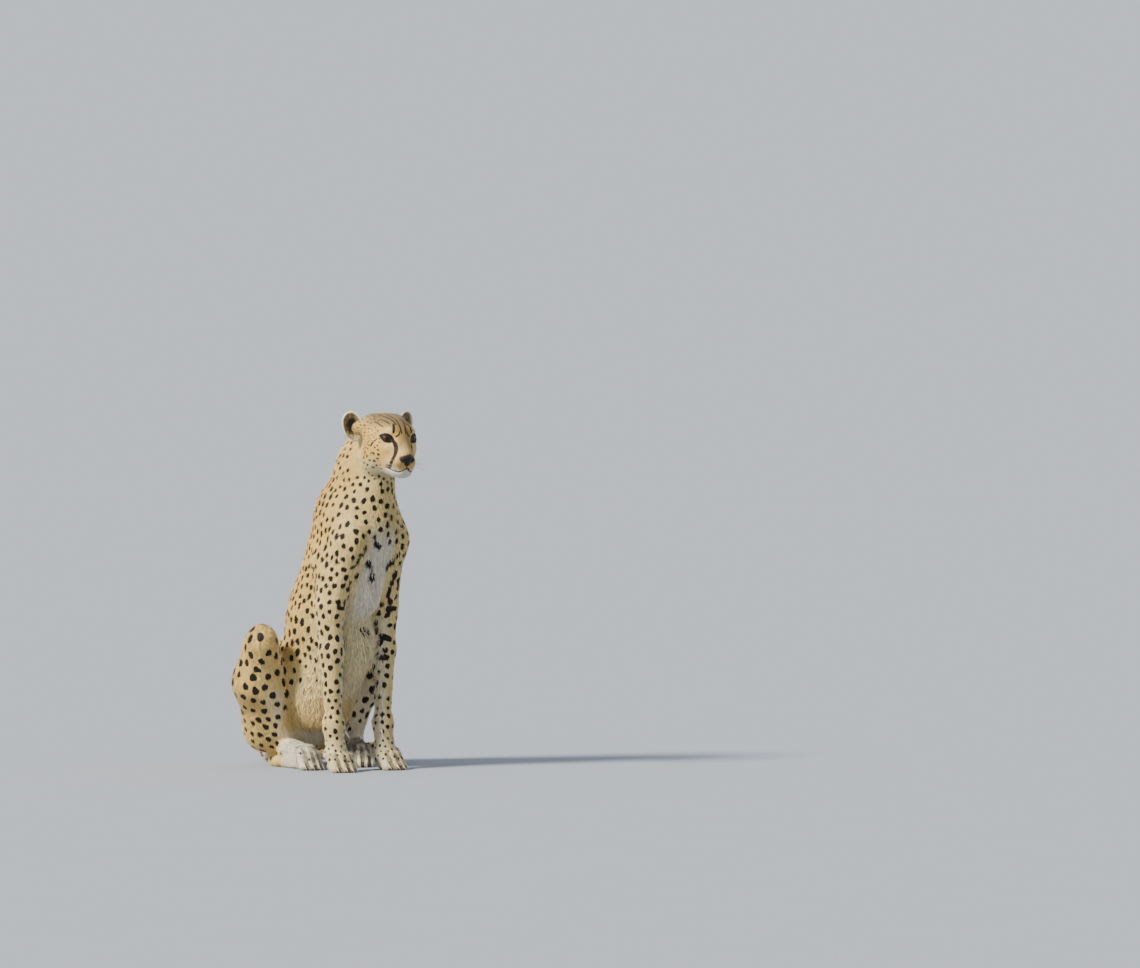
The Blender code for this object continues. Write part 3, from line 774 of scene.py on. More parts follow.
def lie_at(p, n):
    """The unit direction the coat lies in at points p of the skin with normals n."""
    total = np.zeros_like(p)
    for a, b in GUIDES:
        way = b - a
        t = np.clip((p - a) @ way / (way @ way), 0, 1)
        away = ((p - a - t[:, None] * way) ** 2).sum(1)
        total += unit(way) / (away + 0.0002)[:, None] ** 2
    total = unit(total)
    return unit(total - (total * n).sum(1)[:, None] * n)


# %% [markdown]
# ## The ground colour
# A cheetah is tawny on the back, buff on the flank and cream lower down.  The belly, the inner
# sides of the legs, the toes and the chin are near white.  The crown is duller and darker.  Lower
# on the belly the cream is darkened, partly its own colour and partly painted shade under the body;
# between the thighs a darker buff and in the gaps between the toes a dark brown are painted shade.
# Each colour has a share that is a function of place and of the way the skin faces, so skin and
# tufts take the same colour from the same function.

# %% Ground colour
TAWNY = np.array((0.660, 0.385, 0.100))
BUFF = np.array((0.790, 0.530, 0.170))
CREAM = np.array((0.870, 0.700, 0.330))
WHITE = np.array((0.880, 0.820, 0.690))
DULL = np.array((0.180, 0.124, 0.054))
PINKISH = np.array((0.580, 0.400, 0.220))
INK = np.array((0.030, 0.020, 0.014))


# %% The nose leather's masses, and where each colour lies
NOSE_MASSES = [head_ball(0.0465, 0, -0.0494, (0.0162, 0.0105, 0.0055), 0.004),
               head_limb((0.0485, 0, -0.0505), (0.0462, 0, -0.0636), 0.0085, 0.0050, 0.004, 1.1)]
for s in SIDES.values():
    NOSE_MASSES += [head_ball(0.0455, s * 0.0116, -0.0532, (0.0068, 0.0086, 0.0062), 0.004)]


def laid_over(base, *layers):
    """Lay colours over a base one after another, each with its share."""
    for colour, share in layers:
        base = base + (colour - base) * np.clip(share, 0, 1)[:, None]
    return base


def blob(p, centre, radius):
    """1 near a point of the head, fading to 0 at radius."""
    return smooth_step(radius, 0.4 * radius, np.linalg.norm(p - on_head(*centre), axis=1))


def along_tail(p):
    """How far along the tail's path each point lies, and its distance from that path."""
    points = np.array([at(*q) for q in TAIL_PATH])
    best, where, run = np.full(len(p), 9.0), np.zeros(len(p)), 0.0
    for a, b in zip(points, points[1:]):
        way = b - a
        t = np.clip((p - a) @ way / (way @ way), 0, 1)
        away = np.linalg.norm(p - a - t[:, None] * way, axis=1)
        closer = away < best
        best[closer] = away[closer]
        where[closer] = run + t[closer] * np.linalg.norm(way)
        run += np.linalg.norm(way)
    return where, best, run


def tail_share(p):
    where, away, _ = along_tail(p)
    return smooth_step(0.050, 0.040, away) * smooth_step(0.02, 0.06, where)


def instep(p):
    """1 on the upper side of the hind feet, in front of the heel."""
    return (smooth_step(0.110, 0.075, p[:, 2]) * smooth_step(0.24, 0.17, p[:, 1])
            * smooth_step(0.015, 0.04, p[:, 1]))


def groin_share(p):
    """1 on the lowest part of the belly, between the thighs."""
    x, y, up = np.abs(p[:, 0]), p[:, 1], p[:, 2]
    return (smooth_step(0.115, 0.085, x) * smooth_step(0.24, 0.17, up) * smooth_step(0.085, 0.115, up)
            * smooth_step(0.03, 0.07, y) * smooth_step(0.25, 0.20, y) * (tail_share(p) < 0.5))


# %% Colour of the body
def body_ground(p, n):
    ahead, x, up = before_spine(p), p[:, 0], p[:, 2]
    leg = smooth_step(0.44, 0.34, up)
    middle = smooth_step(0.055, 0.020, np.abs(x))
    fringe = (smooth_step(0.24, 0.17, up) * smooth_step(0.03, 0.07, ahead)
              * smooth_step(0.02, 0.05, p[:, 1]))
    fringe *= smooth_step(0.25, 0.20, p[:, 1])
    inner = smooth_step(0.15, 0.75, -n[:, 0] * np.sign(x)) * (np.abs(x) > 0.03)
    feet = smooth_step(0.110, 0.040, up) * smooth_step(0.13, 0.09, p[:, 1])
    low = up < 0.07
    cleft = np.ones(len(p))
    cleft[low] = union(CLEFTS, p[low])
    where, _, run = along_tail(p)
    tail = tail_share(p)
    tail_pale = (0.7 * smooth_step(0.1, -0.7, n[:, 2])
                 + smooth_step(run - 0.030, run - 0.010, where))
    return laid_over(
        np.tile(BUFF, (len(p), 1)),
        (TAWNY, 0.75 * smooth_step(0.01, -0.08, ahead)),  # back
        (CREAM, 0.60 * smooth_step(0.020, 0.090, ahead)),  # front
        (CREAM, 0.15 * leg),
        (WHITE * 0.92, 0.85 * under_side(p) * middle * smooth_step(0.64, 0.56, up)),  # breast
        # the belly's cream, darkened: partly its own colour, partly painted shade under the body
        (CREAM * 0.85, 0.75 * under_side(p) * smooth_step(0.43, 0.36, up)),  # belly
        (WHITE, 0.45 * fringe),
        (WHITE, 0.50 * inner * leg),
        # a darker buff low on the belly between the thighs: painted shade
        (BUFF * 0.85, 0.80 * groin_share(p)),
        ((WHITE + CREAM) / 2, 0.65 * feet),
        (WHITE, 0.85 * instep(p)),
        # the gaps between the toes darkened: painted shade
        (DULL, 0.75 * smooth_step(0.0045, 0.0010, cleft) * (tail < 0.5)),
        (TAWNY, 0.5 * tail),
        (WHITE, tail * tail_pale))


# %% Colour of the head
FACE_PALE = (((0.018, 0.036, -0.024), 0.016, CREAM, 0.50),  # under the eye
             ((0.012, 0.036, 0.014), 0.014, CREAM, 0.65),  # over it
             ((0.030, 0.022, -0.076), 0.012, WHITE, 0.4))  # on the lip


def head_ground(p):
    f, l, u = in_head(p)
    crown = smooth_step(0.008, 0.038, u) * smooth_step(0.075, 0.035, np.abs(l))
    bridge = (smooth_step(0.004, 0.020, f) * smooth_step(-0.052, -0.02, u)
              * smooth_step(0.020, 0.010, np.abs(l)))
    face = laid_over(
        np.tile(BUFF * 0.62 + TAWNY * 0.38, (len(p), 1)),
        (CREAM, smooth_step(-0.070, -0.095, f) * smooth_step(0.012, -0.010, u)),  # behind the ear
        (DULL * 1.08, 0.94 * crown),
        (DULL * 1.2, 0.60 * bridge),
        (PINKISH, 0.4 * smooth_step(0.030, 0.040, f) * smooth_step(-0.072, -0.055, u)),  # muzzle
        (WHITE, smooth_step(-0.073, -0.084, u) * smooth_step(-0.10, -0.03, f)),  # chin
        (CREAM, 0.8 * smooth_step(-0.040, -0.075, u) * smooth_step(0.00, -0.04, f)))  # cheek
    for s in SIDES.values():
        for centre, radius, colour, share in FACE_PALE:
            face = laid_over(face, (colour, share * blob(p, mirrored([centre], s)[0], radius)))
    nape = smooth_step(-0.070, -0.110, f) * smooth_step(0.0, 0.02, u)
    return laid_over(face, (DULL * 1.6, 0.5 * nape),
                     (INK, smooth_step(0.0024, 0.0006, union(NOSE_MASSES, p))))


def ground(p, n):
    """The coat's colour between its marks."""
    return laid_over(body_ground(p, n), (head_ground(p), head_share(p)))


# %% [markdown]
# ## The lines
# A cheetah's face is known by its tear lines, which run from the inner corners of the eyes past
# the nose to the corners of the mouth.  Round the eyes the lids are black, a dark dash runs back
# from the outer corner, and fine streaks cross the forehead.  Broad marks cross the breast and
# the inner sides of the forelegs.  Each is a path of a few points with a width, and those of the
# face are given for the left side and mirrored.

# %% Lines on the face
def line(points, widths, body=skin):
    """Short straight stretches laid on the skin, each with its half width."""
    way = path(points, body, 4)
    half = np.interp(np.linspace(0, 1, len(way)), np.linspace(0, 1, len(widths)), widths)
    return [(a, b, r, t) for a, b, r, t in zip(way, way[1:], half, half[1:])]


def dashes(points, half, share):
    """A broken line of short dashes; share is how much of it is drawn."""
    way = path(points, covered, 6)
    return [(a, a + (b - a) * share, half, half * 0.7) for a, b in zip(way[::2], way[2::2])]


# Strokes of the left side laid over the folds of the face, each with its half widths
STROKES = (
    (((0.0165, 0.0245, -0.0090), (0.0235, 0.0225, -0.0165), (0.0285, 0.0222, -0.0270),
      (0.0300, 0.0255, -0.0400), (0.0282, 0.0308, -0.0530), (0.0240, 0.0345, -0.0650),
      (0.0165, 0.0352, -0.0765)),
     (0.0046, 0.0055, 0.0053, 0.0049, 0.0048, 0.0045, 0.0036)),  # tear line
    (((-0.0030, 0.0470, 0.0030), (-0.0120, 0.0530, -0.0020)), (0.0034, 0.0014)),  # eye's corner
    (((-0.0150, 0.0545, -0.0050), (-0.0215, 0.0580, -0.0120)), (0.0018, 0.0024)),  # and back
    (((-0.0240, 0.0590, -0.0150), (-0.0300, 0.0605, -0.0240)), (0.0026, 0.0020)),
    (((-0.0310, 0.0610, -0.0400), (-0.0340, 0.0620, -0.0470)), (0.0024, 0.0018)),  # cheek
    (((-0.0400, 0.0600, -0.0120), (-0.0450, 0.0600, -0.0190)), (0.0018, 0.0020)),
    (((0.0205, 0.0262, 0.0120), (0.0165, 0.0235, 0.0230), (0.0090, 0.0205, 0.0340)),
     (0.0028, 0.0034, 0.0022)),  # brow
    (((0.0230, 0.0205, 0.0020), (0.0262, 0.0140, 0.0070), (0.0262, 0.0110, 0.0150)),
     (0.0020, 0.0018, 0.0010)))
# Strokes laid in those folds: three at the corner of the mouth, and the line of the lips
IN_FOLDS = (
    (((0.0080, 0.0372, -0.0700), (0.0170, 0.0345, -0.0740)), (0.0011, 0.0015)),
    (((0.0040, 0.0385, -0.0745), (0.0140, 0.0350, -0.0775)), (0.0011, 0.0015)),
    (((0.0060, 0.0375, -0.0650), (0.0170, 0.0350, -0.0690)), (0.0009, 0.0014)),
    (LIP, (0.0013, 0.0017, 0.0022, 0.0018, 0.0014)))
# Broken lines over the forehead and the crown: path, half width and share drawn
BROKEN = (
    (((0.0250, 0.0060, 0.0100), (0.0200, 0.0075, 0.0260), (0.0080, 0.0085, 0.0420),
      (-0.0200, 0.0100, 0.0540), (-0.0560, 0.0120, 0.0580)), 0.0019, 0.6),
    (((0.0130, 0.0150, 0.0330), (-0.0060, 0.0190, 0.0470), (-0.0320, 0.0230, 0.0540),
      (-0.0600, 0.0260, 0.0550)), 0.0019, 0.6),
    (((0.0040, 0.0280, 0.0340), (-0.0140, 0.0330, 0.0430), (-0.0360, 0.0370, 0.0480)), 0.0018, 0.55),
    (((-0.0060, 0.0420, 0.0260), (-0.0240, 0.0470, 0.0360), (-0.0440, 0.0490, 0.0400)), 0.0016, 0.55))
WHISKER_ROWS = ((-0.056, 4), (-0.0635, 5), (-0.0705, 4))  # height of each row of dots, and dots
DOT = 0.0008

LINES = line(((0.0500, 0, -0.0640), (0.0465, 0, -0.0745)), (0.0011, 0.0009))  # nose to lip
for s in SIDES.values():
    for points, widths in STROKES:
        LINES += line(mirrored(points, s), widths, covered)
    for points, widths in IN_FOLDS:
        LINES += line(mirrored(points, s), widths)
    for points, half, share in BROKEN:
        LINES += dashes(mirrored(points, s), half, share)
    for row, (u, count) in enumerate(WHISKER_ROWS):
        for i in range(count):
            f, l = 0.0410 - 0.0050 * i, 0.0150 + 0.0045 * i + 0.001 * row
            LINES += line(((f, s * l, u), (f - 0.0006, s * l, u)), (DOT, DOT))
print("strokes on the face", len(LINES))


# %% Broad marks
# On the breast and the forelegs: from here, to there and half as wide as
BROAD = (((0.048, -0.049, 0.486), (0.047, -0.047, 0.483), 0.0086),
         ((0.034, -0.067, 0.451), (0.033, -0.061, 0.451), 0.0074),
         ((0.062, -0.015, 0.485), (0.061, -0.012, 0.479), 0.0086),
         ((0.079, -0.064, 0.536), (0.081, -0.052, 0.538), 0.0052),
         ((0.070, -0.034, 0.519), (0.068, -0.020, 0.506), 0.0070),
         ((0.056, -0.075, 0.503), (0.061, -0.061, 0.507), 0.0042),
         ((0.089, -0.022, 0.563), (0.087, -0.008, 0.555), 0.0070),
         ((0.088, -0.052, 0.555), (0.087, -0.048, 0.551), 0.0056),
         ((0.064, 0.033, 0.507), (0.068, 0.047, 0.518), 0.0092),
         ((0.052, 0.067, 0.491), (0.046, 0.067, 0.479), 0.0070),
         ((0.034, 0.091, 0.459), (0.033, 0.088, 0.450), 0.0048),
         ((0.033, 0.062, 0.449), (0.024, 0.063, 0.431), 0.0048),
         ((0.028, 0.091, 0.435), (0.028, 0.085, 0.427), 0.0044),
         ((0.022, -0.090, 0.406), (0.016, -0.064, 0.403), 0.0050),
         ((0.010, -0.054, 0.400), (-0.002, -0.046, 0.386), 0.0042),
         ((-0.004, -0.046, 0.380), (-0.008, -0.048, 0.357), 0.0040),
         ((-0.004, -0.049, 0.338), (-0.003, -0.051, 0.326), 0.0085),
         ((0.014, -0.087, 0.334), (0.015, -0.085, 0.327), 0.0062),
         ((0.017, -0.074, 0.305), (0.014, -0.073, 0.290), 0.0042),
         ((0.017, 0.066, 0.401), (0.023, 0.091, 0.402), 0.0066),
         ((0.017, 0.070, 0.388), (0.013, 0.064, 0.382), 0.0056),
         ((0.014, 0.074, 0.359), (0.016, 0.081, 0.361), 0.0055),
         ((0.002, 0.058, 0.334), (0.014, 0.076, 0.326), 0.0082),
         ((-0.006, 0.049, 0.322), (-0.014, 0.048, 0.317), 0.0078),
         ((-0.002, 0.049, 0.291), (-0.002, 0.051, 0.288), 0.0052),
         ((0.002, 0.057, 0.280), (0.012, 0.069, 0.279), 0.0076),
         ((-0.014, 0.044, 0.271), (-0.014, 0.046, 0.268), 0.0056))
for start, end, half in BROAD:
    a, b = settle(np.array([at(*start), at(*end)]), covered, 6, 0.02)
    middle = settle((a + b)[None] / 2, covered, 6, 0.02)[0]
    LINES += [(a, middle, half * 0.9, half), (middle, b, half, half * 0.86)]


UNMARKED = 0.02  # the distance kept where no mark is near


def from_lines(p):
    """Distance outside the nearest line or broad mark."""
    best = np.full(len(p), UNMARKED)
    for a, b, r, t in LINES:
        near = ((p - (a + b) / 2) ** 2).sum(1) < (np.linalg.norm(b - a) / 2 + max(r, t) + 0.012) ** 2
        q, way = p[near] - a, b - a
        along = np.clip(q @ way / max(way @ way, 1e-12), 0, 1)
        away = np.linalg.norm(q - along[:, None] * way, axis=1)
        best[near] = np.minimum(best[near], away - (r + (t - r) * along))
    return best


# %% [markdown]
# ## The spots
# No two spots touch and they lie nearly evenly.  Points thrown at random would leave clumps and
# gaps, so the spots are laid one after another, the next always as near to those before it as its
# distance allows, give or take a little.  That distance and the size change over the body: small
# and close on the back, the neck and the lower legs, large on the thighs, tiny on the head.  A
# spot is an oval along the lie of the coat with an uneven edge.  What is kept for each point is
# its distance outside the nearest mark, since that stays sharp however coarse the mesh is, and
# the material turns it into dark or light.

# %% Where spots may lie
def bare(p):
    """True where there are no spots."""
    f, l, u = in_head(p)
    x, y, up = np.abs(p[:, 0]), p[:, 1], p[:, 2]
    on_the_head, off_tail = head_share(p) > 0.5, tail_share(p) < 0.5
    where, _, run = along_tail(p)
    face = on_the_head & (f > -0.004 - 0.60 * np.maximum(u, 0)) & (u < 0.075)
    chin = on_the_head & (u < -0.078) & (f > -0.06)
    ruff = (f < -0.072) & (f > -0.128) & (u < 0.015) & (u > -0.100) & (np.abs(l) > 0.035)
    belly = (under_side(p) > 0.6) & (up < 0.56) & (x < 0.055)
    groin = (x < 0.095) & (up < 0.20) & (y > 0.045) & (y < 0.225) & off_tail
    toes = (up < 0.026) & (y < 0.16) & off_tail
    ringed = (tail_share(p) > 0.5) & (where > 0.62 * run)
    return face | chin | ruff | belly | groin | toes | ringed | (up < 0.006)


def spot_plan(p):
    """The size of spots at p and the least distance between them; size 0 where there are none."""
    f, _, u = in_head(p)
    x, y, up = np.abs(p[:, 0]), p[:, 1], p[:, 2]
    ahead, head = before_spine(p), head_share(p)
    thigh = smooth_step(0.42, 0.36, up) * smooth_step(0.07, 0.10, y) * smooth_step(0.07, 0.10, x)
    foreleg = smooth_step(0.46, 0.40, up) * smooth_step(0.08, 0.06, y) * smooth_step(0.03, 0.05, x)
    beside_belly = (smooth_step(0.30, 0.22, up) * smooth_step(0.11, 0.09, x)
                    * smooth_step(0.05, 0.08, y))
    size, gap = np.full(len(p), 0.0070), np.full(len(p), 0.0176)
    for share, here_size, here_gap in (
            (smooth_step(-0.02, -0.08, ahead), 0.0062, 0.0156),  # back
            (smooth_step(0.52, 0.57, up) * smooth_step(-0.03, 0.01, ahead), 0.0067, 0.0192),  # shoulder
            (smooth_step(0.66, 0.72, up), 0.0056, 0.0158),  # neck
            (beside_belly, 0.0048, 0.0230),
            (thigh, 0.0091, 0.0250),
            (thigh * smooth_step(0.20, 0.10, up), 0.0070, 0.0205),
            (foreleg, 0.0067, 0.0188),
            (foreleg * smooth_step(0.26, 0.14, up), 0.0052, 0.0155),
            (smooth_step(0.10, 0.07, up) * smooth_step(0.16, 0.12, y), 0.0032, 0.0125),  # feet
            (instep(p), 0.0034, 0.0240),
            (tail_share(p), 0.0080, 0.0235),
            (head, 0.0023, 0.0086),
            (head * smooth_step(-0.018, -0.045, u) * smooth_step(-0.085, -0.06, f), 0.0036, 0.0122)):
        size += (here_size - size) * share
        gap += (here_gap - gap) * share
    size[bare(p)] = 0
    return size, gap


# %% Lay the spots
CLEAR_OF_LINES = 0.0028  # how far a spot's edge stays from a line
LESS_ALONG = 0.36  # off a squared distance along the coat, as spots are longer that way


def lay_spots(p, n):
    """Choose spots among the points p, each as near the others as its distance allows."""
    size, gap = spot_plan(p)
    lie = lie_at(p, n)
    jitter = RANDOM.uniform(0, 0.22, len(p))
    taken = 99.0
    nearest = np.full(len(p), 9.0)  # distance to the nearest spot, in least distances
    nearest[(size == 0) | (from_lines(p) < size + CLEAR_OF_LINES)] = 0
    chosen = []
    while True:
        i = np.argmin(np.where(nearest >= 1, nearest + jitter, taken))
        if nearest[i] < 1:
            break
        chosen.append(i)
        away = p - p[i]
        apart = (away ** 2).sum(1) - LESS_ALONG * (away @ lie[i]) ** 2
        nearest = np.minimum(nearest, np.sqrt(np.maximum(apart, 0)) / gap)
    chosen = np.array(chosen)
    return chosen, size[chosen] * RANDOM.uniform(0.82, 1.08, len(chosen))


skin_p, skin_n = points_of(skin_piece.data), normals_of(skin_piece.data)
SPOTS, SPOT_SIZE = lay_spots(skin_p, skin_n)
SPOT_AT, SPOT_N = skin_p[SPOTS], skin_n[SPOTS]
swing = RANDOM.normal(0, 0.30, len(SPOTS))
ALONG = lie_at(SPOT_AT, SPOT_N)
across = np.cross(SPOT_N, ALONG)
ALONG = ALONG * np.cos(swing)[:, None] + across * np.sin(swing)[:, None]
ACROSS = np.cross(SPOT_N, ALONG)
SPOT_LONG = RANDOM.uniform(1.02, 1.26, len(SPOTS))
SPOT_WAVE = RANDOM.uniform(0, 2 * math.pi, (len(SPOTS), 2))
SPOT_TREE = KDTree(len(SPOTS))
for i, q in enumerate(SPOT_AT):
    SPOT_TREE.insert(q, i)
SPOT_TREE.balance()
print("spots", len(SPOTS))


def from_spots(p, n):
    """Distance outside the nearest spot's edge."""
    best = np.full(len(p), UNMARKED)
    nearest = np.array([[hit[1] for hit in SPOT_TREE.find_n(q, 3)] for q in p])
    for k in range(3):
        i = nearest[:, k]
        away = p - SPOT_AT[i]
        a, b = (away * ALONG[i]).sum(1) / SPOT_LONG[i], (away * ACROSS[i]).sum(1)
        turn = np.arctan2(b, a)
        edge = SPOT_SIZE[i] * (1 + 0.09 * np.sin(2 * turn + SPOT_WAVE[i, 0])
                               + 0.08 * np.sin(3 * turn + SPOT_WAVE[i, 1]))
        d = np.hypot(a, b) - edge
        best = np.where((n * SPOT_N[i]).sum(1) > 0.1, np.minimum(best, d), best)
    return best


# %% All marks together
# The tail's rings: how far along it each lies, and its half width
RINGS = ((0.66, 0.013), (0.74, 0.014), (0.82, 0.015), (0.895, 0.016), (0.958, 0.015))


def from_marks(p, n):
    """Distance outside the nearest mark of any kind."""
    best = np.minimum(from_spots(p, n), from_lines(p))
    near_head = head_share(p) > 0.05
    for s in SIDES.values():
        q = eye_places(p[near_head], s)
        # a black ring round each eye, wider above: partly the real black rims, partly painted shade under
        # the brow
        rim = almond(q[:, 0], q[:, 1]) - np.where(q[:, 1] > 0, 0.0066, 0.0042)
        rim = np.where(q[:, 2] > 0.004, rim, UNMARKED)
        best[near_head] = np.minimum(best[near_head], rim)
    where, _, run = along_tail(p)
    top = 0.003 * np.clip(-n[:, 2] - 0.2, 0, 1)
    tail = tail_share(p) > 0.3
    for place_on, half in RINGS:
        best[tail] = np.minimum(best[tail], (np.abs(where - place_on * run) - half + top)[tail])
    return best


# %% [markdown]
# ## Paint
# Every finish is worked out by nodes.  A small class wraps a socket, so that a sum or a product
# written in plain Python adds its Math nodes, and any other node comes from one function.  Written
# by hand in the node editor the same networks would be clear to see but long to describe.

# %% The Paint class
class Value:
    """A number that varies over a surface: a socket that takes part in arithmetic."""

    def __init__(self, tree, socket):
        self.tree, self.socket = tree, socket

    def _math(self, operation, *values):
        return paint(self.tree, "ShaderNodeMath", {"operation": operation}, *values)

    def __add__(self, other):
        return self._math("ADD", self, other)

    def __sub__(self, other):
        return self._math("SUBTRACT", self, other)

    def __rsub__(self, other):
        return self._math("SUBTRACT", other, self)

    def __mul__(self, other):
        return self._math("MULTIPLY", self, other)

    __radd__, __rmul__ = __add__, __mul__

    def between(self, low, high):
        """0 below low, 1 above high, smooth between."""
        return paint(self.tree, "ShaderNodeMapRange", {"interpolation_type": "SMOOTHSTEP"},
                     self, low, high, 0.0, 1.0)

    def mixed(self, first, second):
        """The colour first where this is 0, second where it is 1."""
        return paint(self.tree, "ShaderNodeMix", {"data_type": "RGBA"},
                     **{"Factor": self, "A": first, "B": second})


def paint(tree, kind, settings, *values, output=0, **named):
    """Add a node, set it, feed its inputs by order or by name and give back one output."""
    node = tree.nodes.new(kind)
    for key, value in settings.items():
        setattr(node, key, value)
    sockets = [s for s in node.inputs if s.enabled]
    feeds = list(zip(sockets, values))
    feeds += [(next(s for s in sockets if s.name == key), value) for key, value in named.items()]
    for socket, value in feeds:
        if isinstance(value, Value):
            tree.links.new(value.socket, socket)
        elif isinstance(value, (tuple, list, np.ndarray)):
            socket.default_value = (*value, 1) if len(value) < len(socket.default_value) else value
        else:
            socket.default_value = value
    outputs = [s for s in node.outputs if s.enabled]
    return Value(tree, outputs[output])


def new_material(name, **constants):
    """A Principled material; its constants are set on the shader itself."""
    material = bpy.data.materials.new(name)
    material.use_nodes = True
    shader = material.node_tree.nodes["Principled BSDF"]
    for key, value in constants.items():
        shader.inputs[key.replace("_", " ")].default_value = value
    return material, material.node_tree, shader


def feed(tree, value, socket):
    tree.links.new(value.socket, socket)


def own_place(tree):
    """Where a point lies in the piece's own coordinates."""
    return paint(tree, "ShaderNodeTexCoord", {}, output=3)


def noise(tree, scale, detail=2.0):
    return paint(tree, "ShaderNodeTexNoise", {}, Vector=own_place(tree), Scale=scale, Detail=detail)


def stored(tree, name, colour=False):
    return paint(tree, "ShaderNodeAttribute", {"attribute_name": name}, output=0 if colour else 2)


def bumped(tree, shader, height, distance, strength=1.0):
    normal = paint(tree, "ShaderNodeBump", {}, Strength=strength, Distance=distance, Height=height)
    feed(tree, normal, shader.inputs["Normal"])


# %% [markdown]
# ## The coat's finish
# Skin and tufts share one material.  It reads two things kept on the mesh: the ground colour and
# the distance outside the nearest mark.  A little noise frays each mark's edge, as hairs of one
# colour lie over the other, and varies the ground.  Hair is matt along its length with a slight
# silky sheen, and its finest grain is bump.

# %% Coat material
MARK = (0.016, 0.010, 0.007)


def coat_material():
    material, tree, shader = new_material("coat", Roughness=0.62, Sheen_Weight=0.12,
                                          Sheen_Roughness=0.45, Specular_IOR_Level=0.28)
    fine, broad = noise(tree, 620.0), noise(tree, 34.0)
    edge = stored(tree, "edge") + (fine - 0.5) * 1.3
    dark = 1 - edge.between(-0.15, 0.65)
    shade = 0.80 + fine * 0.28 + (broad - 0.5) * 0.22
    ground_tone = paint(tree, "ShaderNodeVectorMath", {"operation": "SCALE"},
                        stored(tree, "tone", True), Scale=shade)
    feed(tree, dark.mixed(ground_tone, MARK), shader.inputs["Base Color"])
    bumped(tree, shader, noise(tree, 900.0, 3.0), 0.0006, 0.6)
    return material


COAT = coat_material()


# %% [markdown]
# ## Unwrapping the skin
# Each tuft gets one small patch of an image, laid at its root's place on the skin's own unwrap,
# where its colour can be baked.  So the skin is unwrapped first.  Seams can be marked by hand for a
# tidy layout, but a smart projection is enough here, since nothing is drawn on the image by hand.

# %% Unwrap the skin
def unwrapped(thing, name="OFBake"):
    pick(thing)
    while thing.data.uv_layers:
        thing.data.uv_layers.remove(thing.data.uv_layers[0])
    thing.data.uv_layers.new(name=name)
    bpy.ops.object.mode_set(mode="EDIT")
    bpy.ops.mesh.select_all(action="SELECT")
    bpy.ops.uv.smart_project(angle_limit=math.radians(66), island_margin=0.0015)
    bpy.ops.object.mode_set(mode="OBJECT")


unwrapped(skin_piece)


# %% [markdown]
# ## Tufts
# A tuft is a lance: its foot is under the skin, three points make its waist and one its tip, so
# it has six faces and is closed.  Two hundred thousand of them make the coat, so they are worked
# out as arrays and joined in a few meshes.  A particle system would be easier to comb, but hairs
# that aren't mesh don't leave the program.  Long hair has a second waist, so that it can bend.

# %% A mesh of tufts
WAIST = ((0.5, 0.0), (-0.5, 0.0), (0.0, 1.0))  # across and out, for the three points


def tuft_mesh(name, root, normal, lie, length, width, rise, droop=0.35, sections=1):
    """One mesh of tufts, and the points of each.  rise is how far out the tip stands.

    Its points keep normals near the skin's, so the coat is shaded as one soft surface."""
    count = len(root)
    side = np.cross(normal, lie)
    thick = width * 0.45
    rings = [0.38] if sections == 1 else [0.30, 0.70]
    parts = [root - normal * 0.0012 - lie * (0.06 * length)[:, None]]
    for t in rings:
        lift = rise * t * (1 + droop * (1 - t))
        middle = root + lie * (length * t)[:, None] + normal * lift[:, None]
        girth = 1.0 if t < 0.5 else 0.72
        for a, o in WAIST:
            parts.append(middle + side * (a * girth * width)[:, None]
                         + normal * (o * girth * thick)[:, None])
    parts.append(root + lie * length[:, None] + normal * (rise * (1 - 0.15 * droop))[:, None])
    each = len(parts)
    points = np.stack(parts, 1).reshape(-1, 3)
    points[:, 2] = np.maximum(points[:, 2], 0.0003)
    faces = [(0, 1, 2), (0, 2, 3), (0, 3, 1)]
    for k in range(len(rings) - 1):
        a, b = 1 + 3 * k, 4 + 3 * k
        for i in range(3):
            j = (i + 1) % 3
            faces += [(a + i, b + j, a + j), (a + i, b + i, b + j)]
    last = each - 4
    faces += [(each - 1, last + 1, last), (each - 1, last + 2, last + 1), (each - 1, last, last + 2)]
    corners = (np.arange(count)[:, None, None] * each + np.array(faces)[None]).reshape(-1)
    mesh = bpy.data.meshes.new(name)
    mesh.vertices.add(len(points))
    mesh.vertices.foreach_set("co", points.ravel())
    mesh.loops.add(len(corners))
    mesh.loops.foreach_set("vertex_index", corners.astype(np.int32))
    mesh.polygons.add(len(corners) // 3)
    mesh.polygons.foreach_set("loop_start", np.arange(0, len(corners), 3, dtype=np.int32))
    mesh.update(calc_edges=True)
    waists = [unit(normal + side * a + normal * o * 0.3) for _ in rings for a, o in WAIST]
    rounded = [normal] + waists + [normal]
    mesh.polygons.foreach_set("use_smooth", np.ones(len(corners) // 3, bool))
    mesh.normals_split_custom_set_from_vertices(np.stack(rounded, 1).reshape(-1, 3))
    return mesh, each


PATCH = 0.0015  # half the size of a tuft's patch on the unwrap


